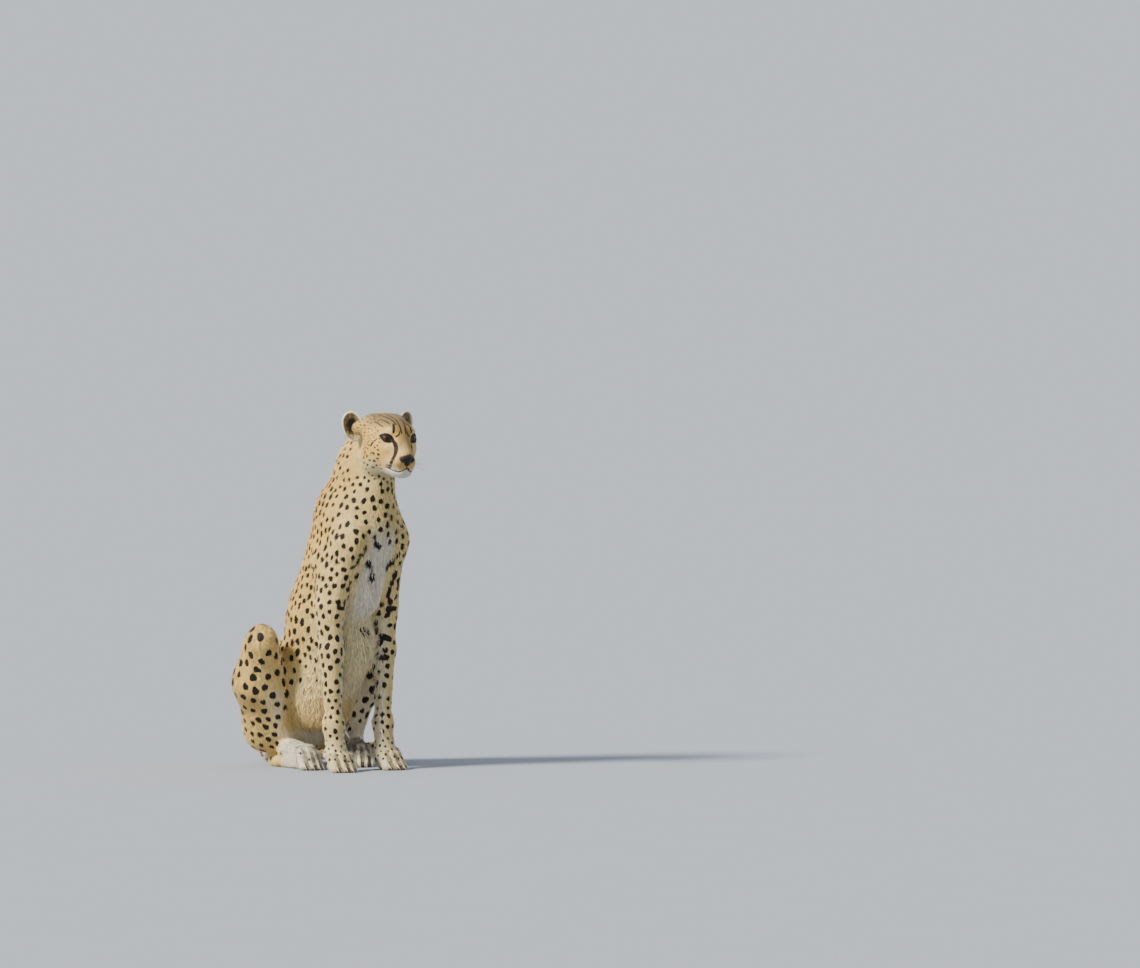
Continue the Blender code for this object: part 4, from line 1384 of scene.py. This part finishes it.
def tuft_piece(name, chosen, root, normal, lie, length, width, rise, tone, edge, uv, sections=1):
    """A finished piece of coat from the chosen tufts."""
    take = [q[chosen] for q in (root, normal, lie, length, width, rise)]
    mesh, each = tuft_mesh(name, *take, sections=sections)
    along = np.concatenate(([0.0], np.repeat(np.linspace(0.38, 0.7, sections), 3), [1.0]))
    store(mesh, "tone", np.repeat(tone[chosen], each, 0))
    low, high = edge[chosen, :1], edge[chosen, 1:]
    store(mesh, "edge", (low + (high - low) * along).ravel())
    layer = mesh.uv_layers.new(name="OFBake")
    aside = np.concatenate(([0.5], np.tile([1.0, 0.0, 0.5], sections), [0.5]))
    patch = np.stack((along - 0.5, aside - 0.5), 1) * 2 * PATCH
    per_point = (uv[chosen][:, None, :] + patch[None]).reshape(-1, 2)
    corner = read(mesh.loops, "vertex_index", 1, np.int32)
    layer.data.foreach_set("uv", per_point[corner].astype(np.float32).ravel())
    return finished(new_object(name, mesh), COAT)


# %% [markdown]
# ## Sowing the coat
# Roots are sown over the skin's triangles, thickly where tufts are small and thinly where they
# are long.  Stepping evenly through the running total of area times thickness spreads them with
# few clumps or gaps.  Each root takes its normal, its lie, its colour and its place on the unwrap.

# %% Roots on a mesh
def sown(mesh, count, thickness):
    """Roots spread over mesh in proportion to thickness(points): place, normal and unwrap place."""
    mesh.calc_loop_triangles()
    corners = read(mesh.loop_triangles, "vertices", 3, np.int32)
    loops = read(mesh.loop_triangles, "loops", 3, np.int32)
    uv = read(mesh.uv_layers[0].data, "uv", 2)
    p, n = points_of(mesh), normals_of(mesh)
    a, b, c = (p[corners[:, k]] for k in range(3))
    share = np.linalg.norm(np.cross(b - a, c - a), axis=1) * thickness((a + b + c) / 3)
    running = np.cumsum(share)
    steps = (np.arange(count) + RANDOM.uniform(0, 1, count)) / count * running[-1]
    which = np.minimum(np.searchsorted(running, steps), len(corners) - 1)
    r, s = np.sqrt(RANDOM.uniform(0, 1, count)), RANDOM.uniform(0, 1, count)
    weight = np.stack((1 - r, r * (1 - s), r * s), 1)[:, :, None]
    return ((p[corners[which]] * weight).sum(1), unit((n[corners[which]] * weight).sum(1)),
            (uv[loops[which]] * weight).sum(1))


def small_share(p):
    """1 on the muzzle, 0.5 on the rest of the head and the feet, 0 on the body."""
    f = in_head(p)[0]
    muzzle = head_share(p) * (0.5 + 0.5 * smooth_step(-0.03, 0.015, f))
    feet = smooth_step(0.085, 0.050, p[:, 2]) * smooth_step(0.16, 0.12, p[:, 1])
    return np.maximum(muzzle, 0.55 * feet * (tail_share(p) < 0.5))


def foreleg_share(p):
    return smooth_step(0.42, 0.30, p[:, 2]) * smooth_step(0.10, 0.06, p[:, 1])


def tuft_length(p):
    small = small_share(p)
    length = np.interp(small, (0, 0.5, 1), (0.0125, 0.0068, 0.0036))
    return length * (1 - 0.42 * (foreleg_share(p) * (small < 0.3)))


def spacing(p):
    wide = np.interp(small_share(p), (0, 0.5, 1), (0.00265, 0.00175, 0.00105))
    return wide * (1 - 0.2 * foreleg_share(p))


def unhaired(p):
    """True where no tuft grows: under the paws, in the eye openings and under the nose leather."""
    f = in_head(p)[0]
    out = p[:, 2] < 0.004
    for s in SIDES.values():
        q = eye_places(p, s)
        out |= (almond(q[:, 0], q[:, 1]) < 0.0012) & (q[:, 2] > 0)
    out |= (head_share(p) > 0.5) & (f > 0.03) & (union(NOSE_MASSES, p) < 0.0004)
    return out


# %% Sow the short coat
SHORT_TUFTS = 205000
IN_MM = 1000  # a mark's edge is kept in millimetres


def coat_regions(p):
    """Which piece of the coat each root belongs to, by number, and their names."""
    f = in_head(p)[0]
    head = head_share(p) > 0.5
    up, left = p[:, 2], p[:, 0] > 0
    tests = [("coat_muzzle", head & (f > 0.004)), ("coat_head", head),
             ("coat_tail", tail_share(p) > 0.5),
             ("coat_feet", (up < 0.085) & (p[:, 1] < 0.16)),
             ("coat_neck", up > 0.620),
             ("coat_forelegs", (up < 0.440) & (p[:, 1] < 0.075) & (np.abs(p[:, 0]) > 0.035)),
             ("coat_haunch_left", (up < 0.420) & (p[:, 0] > 0.070)),
             ("coat_haunch_right", (up < 0.420) & (p[:, 0] < -0.070)),
             ("coat_back", before_spine(p) < 0.0), ("coat_left", left), ("coat_right", ~left)]
    number = np.full(len(p), -1)
    for k, (_, inside) in enumerate(tests):
        number[(number < 0) & inside] = k
    return number, [name for name, _ in tests]


def tufts_on(mesh, count, thickness, length_of, width_of, rise_of, wild, tones=(0.75, 1.15)):
    """All that a piece of coat needs, for tufts sown on the skin; wild is how unruly they are."""
    root, normal, uv = sown(mesh, count, thickness)
    keep = ~unhaired(root)
    root, normal, uv = root[keep], normal[keep], uv[keep]
    count = len(root)
    lie = lie_at(root, normal)
    side = np.cross(normal, lie)
    turn = RANDOM.normal(0, 1, count) * wild
    lie = lie * np.cos(turn)[:, None] + side * np.sin(turn)[:, None]
    length = length_of(root) * RANDOM.uniform(0.75, 1.2, count)
    width = width_of(root) * RANDOM.uniform(0.8, 1.2, count)
    rise = rise_of(root) * RANDOM.uniform(0.45, 1.0, count)
    tone = ground(root, normal) * RANDOM.uniform(*tones, count)[:, None]
    reach = np.minimum(length, 0.014)[:, None]
    edge = np.stack([from_marks(root + lie * reach * t, normal) * IN_MM for t in (0.1, 0.75)], 1)
    return root, normal, lie, length, width, rise, tone, edge, uv


def on_floor(tufts, low=0.0008):
    """Turn up the tips that would go below the floor."""
    root, _, lie, length = tufts[:4]
    dip = low - (root[:, 2] + lie[:, 2] * length)
    steep = dip > 0
    lie[steep, 2] += dip[steep] / length[steep]
    lie[steep] = unit(lie[steep])
    return tufts


coat = on_floor(tufts_on(skin_piece.data, SHORT_TUFTS, lambda p: 1 / spacing(p) ** 2, tuft_length,
                         lambda p: 0.62 * spacing(p), coat_depth, 0.13))
region, region_names = coat_regions(coat[0])
for k, name in enumerate(region_names):
    chosen = np.flatnonzero(region == k)
    print(name, len(chosen), "tufts")
    tuft_piece(name, chosen, *coat)


# %% [markdown]
# ## Long hair
# On the chest and the belly the coat is long and loose, on the nape it stands in a low ridge, and
# the cheeks carry a small ruff.  These tufts are longer, bend, stand out further and are less
# tidy, and they lie over the short coat.

# %% Sow the long hair
LONG_TUFTS = 13000


def shag(p):
    """How shaggy the coat is, from 0 to 1."""
    f, l, u = in_head(p)
    chest = under_side(p) * smooth_step(0.66, 0.52, p[:, 2])
    nape = (smooth_step(-0.035, -0.060, before_spine(p)) * smooth_step(0.60, 0.66, p[:, 2])
            * smooth_step(0.84, 0.80, p[:, 2]) * smooth_step(0.05, 0.02, np.abs(p[:, 0])))
    ruff = head_share(p) * smooth_step(-0.035, -0.065, f) * smooth_step(-0.02, -0.05, u)
    where, _, run = along_tail(p)
    tip = tail_share(p) * smooth_step(run - 0.05, run - 0.01, where)
    rump = smooth_step(0.40, 0.30, p[:, 2]) * smooth_step(0.05, 0.09, p[:, 1]) * (before_spine(p) > 0.08)
    return np.clip(chest + 0.7 * nape + 0.45 * ruff + 0.6 * tip + 0.3 * rump + 0.6 * groin_share(p), 0, 1)


def rooted(p):
    """How thickly long hair grows."""
    return np.where(shag(p) > 0.12, 0.25 + shag(p), 0.0) * (p[:, 2] > 0.03)


long_hair = on_floor(tufts_on(skin_piece.data, LONG_TUFTS, rooted,
                              lambda p: 0.010 + 0.016 * shag(p), lambda p: 0.0011 + 0.0010 * shag(p),
                              lambda p: 0.0040 + 0.0062 * shag(p), 0.30, (0.58, 1.22)), 0.001)
tuft_piece("coat_long", np.arange(len(long_hair[0])), *long_hair, sections=2)


# %% [markdown]
# ## Ears
# An ear is a thin petal, cupped forward, with its foot in the head.  Its back is black with a
# buff foot, its rim is pale, and long pale hairs cross its hollow.  The hollow is painted near
# black, lighter towards the rim: painted shade in the cup.  It is built of rings round its middle,
# the inner and the outer face meeting at the rim.  Extruding a disc by hand would give the same,
# with less even rings.

# %% The ears
EAR_RINGS, EAR_AROUND = 10, 40
EAR_WIDE, EAR_TALL, EAR_DEEP, EAR_THICK = 0.0235, 0.0368, 0.019, 0.0013
EAR_TUFTS, EAR_TUFT_WIDTH = 7500, 0.0007
# Each ear's middle, the way it faces and its height's direction
EARS = {-1: ((-0.0948, -0.0762, 0.0215), (-0.50, -0.85, 0.08), (-0.28, 0, 0.90)),
        1: ((-0.0948, 0.0745, 0.0240), (0.34, -0.93, 0.08), (0.34, 0, 0.90))}


def ear_axes(s):
    centre, facing, up = (np.array(q) for q in EARS[s])
    facing, up = unit(HEAD @ facing), HEAD @ up
    up = unit(up - facing * (up @ facing))
    return on_head(*centre), np.cross(up, facing), up, facing


def ear_mesh(s):
    centre, across, up, facing = ear_axes(s)

    def point(ring, step, face):
        r, turn = ring / EAR_RINGS, 2 * math.pi * step / EAR_AROUND
        x, y = r * math.cos(turn), r * math.sin(turn)
        depth = -EAR_DEEP * (1 - r * r) + face * EAR_THICK * (1.8 - r * r) * (ring < EAR_RINGS)
        return (centre + across * EAR_WIDE * x * (1 + 0.14 * math.sin(turn))
                + up * EAR_TALL * y + facing * depth)

    bm = bmesh.new()
    rim = [bm.verts.new(point(EAR_RINGS, j, 0)) for j in range(EAR_AROUND)]
    for face in (1, -1):
        rings = [[bm.verts.new(point(i, j, face)) for j in range(EAR_AROUND)]
                 for i in range(1, EAR_RINGS)] + [rim]
        middle = bm.verts.new(point(0, 0, face))
        for j in range(EAR_AROUND):
            k = (j + 1) % EAR_AROUND
            bm.faces.new((middle, rings[0][j], rings[0][k]))
            for inner, outer in zip(rings, rings[1:]):
                bm.faces.new((inner[j], outer[j], outer[k], inner[k]))
    return mesh_from(bm, "ear")


def ear_places(p, s):
    """Radius from the ear's middle, 1 at the rim, height, and which face, 1 inside."""
    centre, across, up, facing = ear_axes(s)
    q = p - centre
    x, y = q @ across / EAR_WIDE, q @ up / EAR_TALL
    r = np.hypot(x, y)
    return r, y, np.where(q @ facing > -EAR_DEEP * (1 - r * r), 1.0, 0.0)


def ear_tone(p, s):
    r, y, inside = ear_places(p, s)
    back = laid_over(np.tile(INK, (len(p), 1)), (BUFF, smooth_step(-0.05, -0.45, y)))
    # the hollow near black, lighter towards the rim: painted shade in the ear's cup
    front = laid_over(np.tile(INK * 1.6, (len(p), 1)), (DULL * 1.5, 0.75 * smooth_step(0.35, 0.80, r)))
    return laid_over(back, (front, inside), ((CREAM + WHITE) / 2, smooth_step(0.86, 0.93, r)))


UNMARKED_MM = UNMARKED * IN_MM
for side, s in SIDES.items():
    ear = new_object(f"ear_skin_{side}", ear_mesh(s))
    unwrapped(ear)
    p = points_of(ear.data)
    store(ear.data, "tone", ear_tone(p, s))
    store(ear.data, "edge", np.full(len(p), UNMARKED_MM))
    centre, _, up, facing = ear_axes(s)
    count = EAR_TUFTS
    root, normal, uv = sown(ear.data, count, lambda q: np.ones(len(q)))
    r, _, inside = ear_places(root, s)
    lie = unit(unit(root - centre + up * 0.012) * 0.8 + up * 0.5)
    fringe = inside * smooth_step(0.55, 0.85, r) * (RANDOM.uniform(0, 1, count) < 0.22) > 0.3
    inward = unit(centre - root + facing * 0.020)
    lie = np.where(fringe[:, None], inward, lie)
    lie = unit(lie - (lie * normal).sum(1)[:, None] * normal + RANDOM.normal(0, 0.12, (count, 3)))
    length = np.where(fringe, 0.0105, 0.0050) * RANDOM.uniform(0.75, 1.2, count)
    length = np.where(r > 0.9, 0.0030, length)
    rise = np.where(fringe, 0.0034, 0.0010) * RANDOM.uniform(0.5, 1.0, count)
    tone = ear_tone(root, s) * RANDOM.uniform(0.85, 1.12, count)[:, None]
    tone = np.where(fringe[:, None], CREAM * RANDOM.uniform(0.25, 0.95, count)[:, None], tone)
    tuft_piece(f"ear_coat_{side}", np.arange(count), root, normal, lie, length,
               np.full(count, EAR_TUFT_WIDTH), rise, tone, np.full((count, 2), UNMARKED_MM), uv)
    finished(ear, COAT, (f"ear_{side}",))


# %% [markdown]
# ## Eyes
# A cheetah's eye is amber, with a round pupil, and dark where the white would be.  Here the amber
# is darkened nearly to black, as painted shade under the brow.  The eyeball is a sphere whose pole
# looks along the gaze, with the cornea raised a little.  The sphere's own unwrap runs from the pole
# outwards, so rings of colour are a function of one of its numbers.
# Under the clear, wet coat the iris has fine spokes.  The rims of the lids are a separate band of
# black, wet skin that runs round the opening.

# %% The eyes
IRIS, PUPIL = 0.0108, 0.0044  # radii along the surface


def eye_material():
    material, tree, shader = new_material("eye", Roughness=0.05, IOR=1.36, Specular_IOR_Level=0.25,
                                          Coat_Weight=0.25, Coat_Roughness=0.02)
    uv = paint(tree, "ShaderNodeUVMap", {"uv_map": "eye"})
    parts = paint(tree, "ShaderNodeSeparateXYZ", {}, uv)
    turn = Value(tree, parts.socket.node.outputs[0])
    out = (1 - Value(tree, parts.socket.node.outputs[1])) * (math.pi * EYE_RADIUS)
    spokes = paint(tree, "ShaderNodeCombineXYZ", {}, turn * 90.0, out * 160.0, 0.0)
    fibre = paint(tree, "ShaderNodeTexNoise", {}, Vector=spokes, Scale=1.0, Detail=3.0)
    amber = (fibre * 0.9 + out * 22.0).between(0.35, 0.95)
    # the amber darkened nearly to black: painted shade under the brow
    amber = amber.mixed((0.036, 0.014, 0.004), (0.14, 0.060, 0.016))
    ringed = out.between(IRIS - 0.0016, IRIS - 0.0002).mixed(amber, (0.022, 0.012, 0.008))
    pupil = 1 - out.between(PUPIL - 0.0003, PUPIL + 0.0003)
    feed(tree, pupil.mixed(ringed, (0.004, 0.004, 0.004)), shader.inputs["Base Color"])
    return material


EYE = eye_material()
LID_SKIN, lid_tree, lid_shader = new_material("lid", Base_Color=(0.012, 0.010, 0.010, 1),
                                              Roughness=0.34, Specular_IOR_Level=0.25)
bumped(lid_tree, lid_shader, noise(lid_tree, 1400.0), 0.0002, 0.5)


def eyeball(side, s):
    bpy.ops.object.select_all(action="DESELECT")
    bpy.ops.mesh.primitive_uv_sphere_add(segments=64, ring_count=48, radius=EYE_RADIUS)
    thing = bpy.context.object
    thing.name = f"eyeball_{side}"
    thing.data.uv_layers[0].name = "eye"
    p = points_of(thing.data)
    polar = np.arccos(np.clip(p[:, 2] / EYE_RADIUS, -1, 1)) * EYE_RADIUS
    p *= (1 + 0.060 * smooth_step(IRIS * 1.15, 0.0, polar))[:, None]
    place(thing.data, p @ eye_frame(s).T + eye_centre(s))
    if np.linalg.det(eye_frame(s)) < 0:
        thing.data.flip_normals()
    return thing


def lid_band(side, s):
    """A soft black band round the opening, thicker above."""
    steps, around = 72, 10
    radius = EYE_RADIUS + 0.0006
    r_up, c_up = bow(EYE_UPPER)
    r_low, c_low = bow(EYE_LOWER)
    turned_out = eye_frame(s)
    bm = bmesh.new()
    rings = []
    for i in range(steps):
        a = EYE_HALF * math.cos(2 * math.pi * i / steps)
        upper = i < steps / 2
        b = (math.sqrt(max(r_up ** 2 - a * a, 0)) + c_up if upper
             else -math.sqrt(max(r_low ** 2 - a * a, 0)) - c_low)
        front = math.sqrt(max(radius ** 2 - a * a - b * b, 1e-6))
        out = unit(np.array((a, b, front)))
        outward = unit(np.array((a, b * 1.6, 0.0)))
        outward = unit(outward - out * (outward @ out))
        wide = 0.0021 if upper else 0.0014
        middle = out * radius + outward * wide * 0.55
        rings.append(ring_of(bm, eye_centre(s) + turned_out @ middle,
                             turned_out @ (outward * wide), turned_out @ (out * 0.0011), around))
    stitch(bm, rings, closed=True)
    return new_object(f"lid_{side}", mesh_from(bm, "lid"))


for side, s in SIDES.items():
    finished(eyeball(side, s), EYE, (f"eye_{side}",))
    finished(lid_band(side, s), LID_SKIN)


# %% [markdown]
# ## Nose
# The leather of the nose is broad above, drawn in to the lip, with a comma of a nostril on each
# side and a groove down the middle.  It is a small sum of masses, as the body is, meshed finely.
# Its skin is black, pebbled and moist.

# %% The nose
NOSE_VOXEL, DENT_EDGE = 0.0008, 0.0015
# Each nostril's hole and its slit to the side: ends and radii
NOSTRIL = ((((0.0580, 0.0088, -0.0560), (0.0510, 0.0123, -0.0535)), 0.0031, 0.0027),
           (((0.0530, 0.0140, -0.0535), (0.0440, 0.0205, -0.0560)), 0.0018, 0.0012))
NOSE_DENTS = [head_limb((0.0620, 0, -0.0500), (0.0530, 0, -0.0680), 0.0011, 0.0011, DENT_EDGE)]
for s in SIDES.values():
    NOSE_DENTS += [head_limb(*mirrored(ends, s), r0, r1, DENT_EDGE) for ends, r0, r1 in NOSTRIL]


def nose_body(p):
    return hollow(union(NOSE_MASSES, p), NOSE_DENTS, p)


def nose_material():
    material, tree, shader = new_material("nose", Roughness=0.36, Specular_IOR_Level=0.25)
    tone = noise(tree, 160.0).mixed((0.006, 0.005, 0.005), (0.016, 0.012, 0.011))
    feed(tree, tone, shader.inputs["Base Color"])
    pebbles = paint(tree, "ShaderNodeTexVoronoi", {}, Vector=own_place(tree), Scale=950.0)
    bumped(tree, shader, pebbles, 0.0004, 0.7)
    return material


nose = shell_of(NOSE_MASSES, NOSE_VOXEL, "nose_leather")
for _ in range(2):
    place(nose.data, relax(settle(points_of(nose.data), nose_body), edges_of(nose.data), 1))
place(nose.data, settle(points_of(nose.data), nose_body, 1))
finished(nose, nose_material(), ("nose",))


# %% [markdown]
# ## Claws
# A cheetah's claws stay out, blunt and curved, and the dewclaw on the inner wrist is the sharp
# one.  Each is a cone bent along an arc and flattened sideways, pale at the root and darker at
# the tip.  The cone starts inside the toe.

# %% The claws
def claw_material():
    material, tree, shader = new_material("claw", Roughness=0.30, Coat_Weight=0.2)
    along = stored(tree, "along")
    streak = noise(tree, 420.0, 3.0)
    horn = (along * 0.9 + streak * 0.5).between(0.2, 1.1).mixed((0.72, 0.64, 0.50), (0.26, 0.19, 0.13))
    feed(tree, horn, shader.inputs["Base Color"])
    bumped(tree, shader, streak, 0.0002, 0.4)
    return material


CLAW = claw_material()


CLAW_LONG, CLAW_HALF, DEW_HALF = 0.0195, 0.0042, 0.0038


def claw(name, node, root, ahead, girth=CLAW_HALF, steps=9, around=12):
    """A hooked cone from inside the toe, forward and down."""
    side = unit(np.cross(ahead, UP))
    bm = bmesh.new()
    rings = []
    for t in np.linspace(0, 0.97, steps):
        centre = root + ahead * CLAW_LONG * t - UP * CLAW_LONG * 0.60 * t * t
        r = girth * (1 - 0.93 * t ** 1.4)
        rings.append(ring_of(bm, centre, side * 0.72 * r, UP * r, around))
    tip = bm.verts.new(root + ahead * CLAW_LONG - UP * CLAW_LONG * 0.62)
    stitch(bm, rings)
    for j in range(around):
        bm.faces.new((rings[-1][j], rings[-1][(j + 1) % around], tip))
    bm.faces.new(rings[0][::-1])
    mesh = mesh_from(bm, name)
    store(mesh, "along", np.clip((points_of(mesh) - root) @ ahead / CLAW_LONG, 0, 1))
    return finished(new_object(name, mesh), CLAW, (node,))


for side, s in SIDES.items():
    for foot, (base, ahead, left, size) in (("fore", FORE[s]), ("hind", BACK[s])):
        for i, (across, advance) in enumerate(SPREAD, 1):
            root = base + ahead * (0.050 + advance) + left * across * 0.0180 * size + UP * 0.0125
            claw(f"horn_{foot}_{side}_{i}", f"claw_{foot}_{side}_{i}", root, ahead)
    claw(f"dew_horn_{side}", f"dewclaw_{side}", at(0.004, s * 0.0570, 0.098),
         at(0.8, -s * 0.35, -0.45), DEW_HALF)


# %% [markdown]
# ## Whiskers
# Fine, pale and not long: a few stand in rows on each side of the muzzle and two over each eye.
# Each is a thin three-sided tapering rod along an arc that sweeps back.

# %% The whiskers
def whisker(bm, start, toward, length, thick, sag):
    toward = unit(toward)
    side = unit(np.cross(toward, UP))
    rise = np.cross(side, toward)
    backward = HEAD[:, 1]
    rings = []
    for t in np.linspace(0, 1, 9):
        centre = start + toward * length * t - rise * sag * t * t + backward * 0.35 * length * t * t
        r = thick * (1 - 0.85 * t)
        rings.append(ring_of(bm, centre, side * r, rise * r, 3))
    stitch(bm, rings)
    bm.faces.new(rings[0][::-1])
    bm.faces.new(rings[-1])


def on_coat(forward, left, up):
    """A place on the head, laid on the body under its coat."""
    return settle(on_head(forward, left, up)[None], covered, 4)[0]


bm = bmesh.new()
for s in SIDES.values():
    for row, u in enumerate((-0.057, -0.0640, -0.0705)):
        for i in range(4):
            aimed = HEAD @ np.array((s * (0.85 + 0.1 * i), -0.25 + 0.16 * i, 0.16 - 0.14 * row))
            whisker(bm, on_coat(0.0370 - 0.0055 * i, s * (0.0190 + 0.0045 * i), u), aimed,
                    0.050 + 0.008 * i, 0.00026, 0.010)
    for i in range(2):
        whisker(bm, on_coat(0.016 - 0.006 * i, s * (0.024 + 0.008 * i), 0.018),
                HEAD @ np.array((s * 0.5, -0.45, 0.75)), 0.034, 0.00020, 0.006)
whiskers = new_object("whiskers", mesh_from(bm, "whiskers"))
WHISKER, whisker_tree, whisker_shader = new_material("whisker", Roughness=0.35)
feed(whisker_tree, noise(whisker_tree, 90.0).mixed((0.62, 0.58, 0.50), (0.78, 0.76, 0.72)),
     whisker_shader.inputs["Base Color"])
finished(whiskers, WHISKER)


# %% [markdown]
# ## Dress the skin
# The skin takes its colour and its marks from the same functions as the tufts, its colour cut to
# four fifths as painted shade under the tufts, and stands for every node of flesh.

# %% The skin's finish
FLESH = ["head", "neck", "trunk", "tail_base", "tail_middle", "tail_tip"]
FLESH += [f"{part}_{side}" for side in SIDES
          for part in ("upper_arm", "forearm", "fore_foot", "haunch", "hind_foot")]
skin_p, skin_n = points_of(skin_piece.data), normals_of(skin_piece.data)
# four fifths of the ground colour: painted shade under the tufts
store(skin_piece.data, "tone", ground(skin_p, skin_n) * 0.80)
store(skin_piece.data, "edge", from_marks(skin_p, skin_n) * IN_MM)
finished(skin_piece, COAT, FLESH)


# %% [markdown]
# ## Floor, light and camera
# The animal sits on a plain pale floor under soft studio light: a broad warm key from the
# camera's left and above, and pale, slightly cool air all round that fills the shade.  The camera
# is level and far, as with a long lens, and looks at the animal's right front.

# %% Stage
SUN_POWER, SUN_LOW = 8.0, math.radians(38)  # strength, and height above the floor
SUN_COLOUR = np.array((1.0, 0.94, 0.78))
AIR = np.array((0.71, 0.75, 0.81))
SUN_SOFT, SUN_TURN = math.radians(12), math.radians(-92)
FLOOR_SIZE = 400


def floor_material():
    """Where the floor gives back as much light as the air behind it shows, no horizon is seen."""
    sun_on_floor = SUN_COLOUR * SUN_POWER * math.sin(SUN_LOW) / math.pi
    even = AIR / (AIR + sun_on_floor)
    material, tree, shader = new_material("floor", Roughness=0.9, Specular_IOR_Level=0.0)
    feed(tree, noise(tree, 6.0).mixed(tuple(even * 0.99), tuple(even * 1.01)), shader.inputs["Base Color"])
    return material


bpy.ops.object.select_all(action="DESELECT")
bpy.ops.mesh.primitive_plane_add(size=FLOOR_SIZE)
floor = bpy.context.object
floor.name = "floor"
floor.data.materials.append(floor_material())

world = bpy.data.worlds.new("air")
bpy.context.scene.world = world
world.use_nodes = True
air = world.node_tree.nodes["Background"]
air.inputs["Color"].default_value = (*AIR, 1)
air.inputs["Strength"].default_value = 1.0

sun = bpy.data.lights.new("key", "SUN")
sun.energy, sun.angle, sun.color = SUN_POWER, SUN_SOFT, SUN_COLOUR
sun_thing = new_object("key", sun)
sun_thing.rotation_euler = (math.radians(90) - SUN_LOW, 0, SUN_TURN)

# %% Camera
CAMERA_FAR, CAMERA_UP, FROM_LEFT = 11.0, 0.711, math.radians(40)
SEEN_WIDE = 2.8148  # width of the view at the animal, in metres
ASIDE = 0.573  # the animal sits left of the middle of the view
SENSOR = 36  # in millimetres, as the lens is
SIGHT = np.array((math.sin(FROM_LEFT), math.cos(FROM_LEFT), 0))
RIGHTWARD = np.array((math.cos(FROM_LEFT), -math.sin(FROM_LEFT), 0))
camera = new_object("camera", bpy.data.cameras.new("camera"))
looked_at = np.array((-0.075, 0, CAMERA_UP)) + RIGHTWARD * ASIDE - OFFSET
camera.location = looked_at - SIGHT * CAMERA_FAR
camera.rotation_euler = (math.radians(90), 0, -FROM_LEFT)
camera.data.sensor_width = SENSOR
camera.data.lens = SENSOR * CAMERA_FAR / SEEN_WIDE
camera.data.clip_end = 200
bpy.context.scene.camera = camera
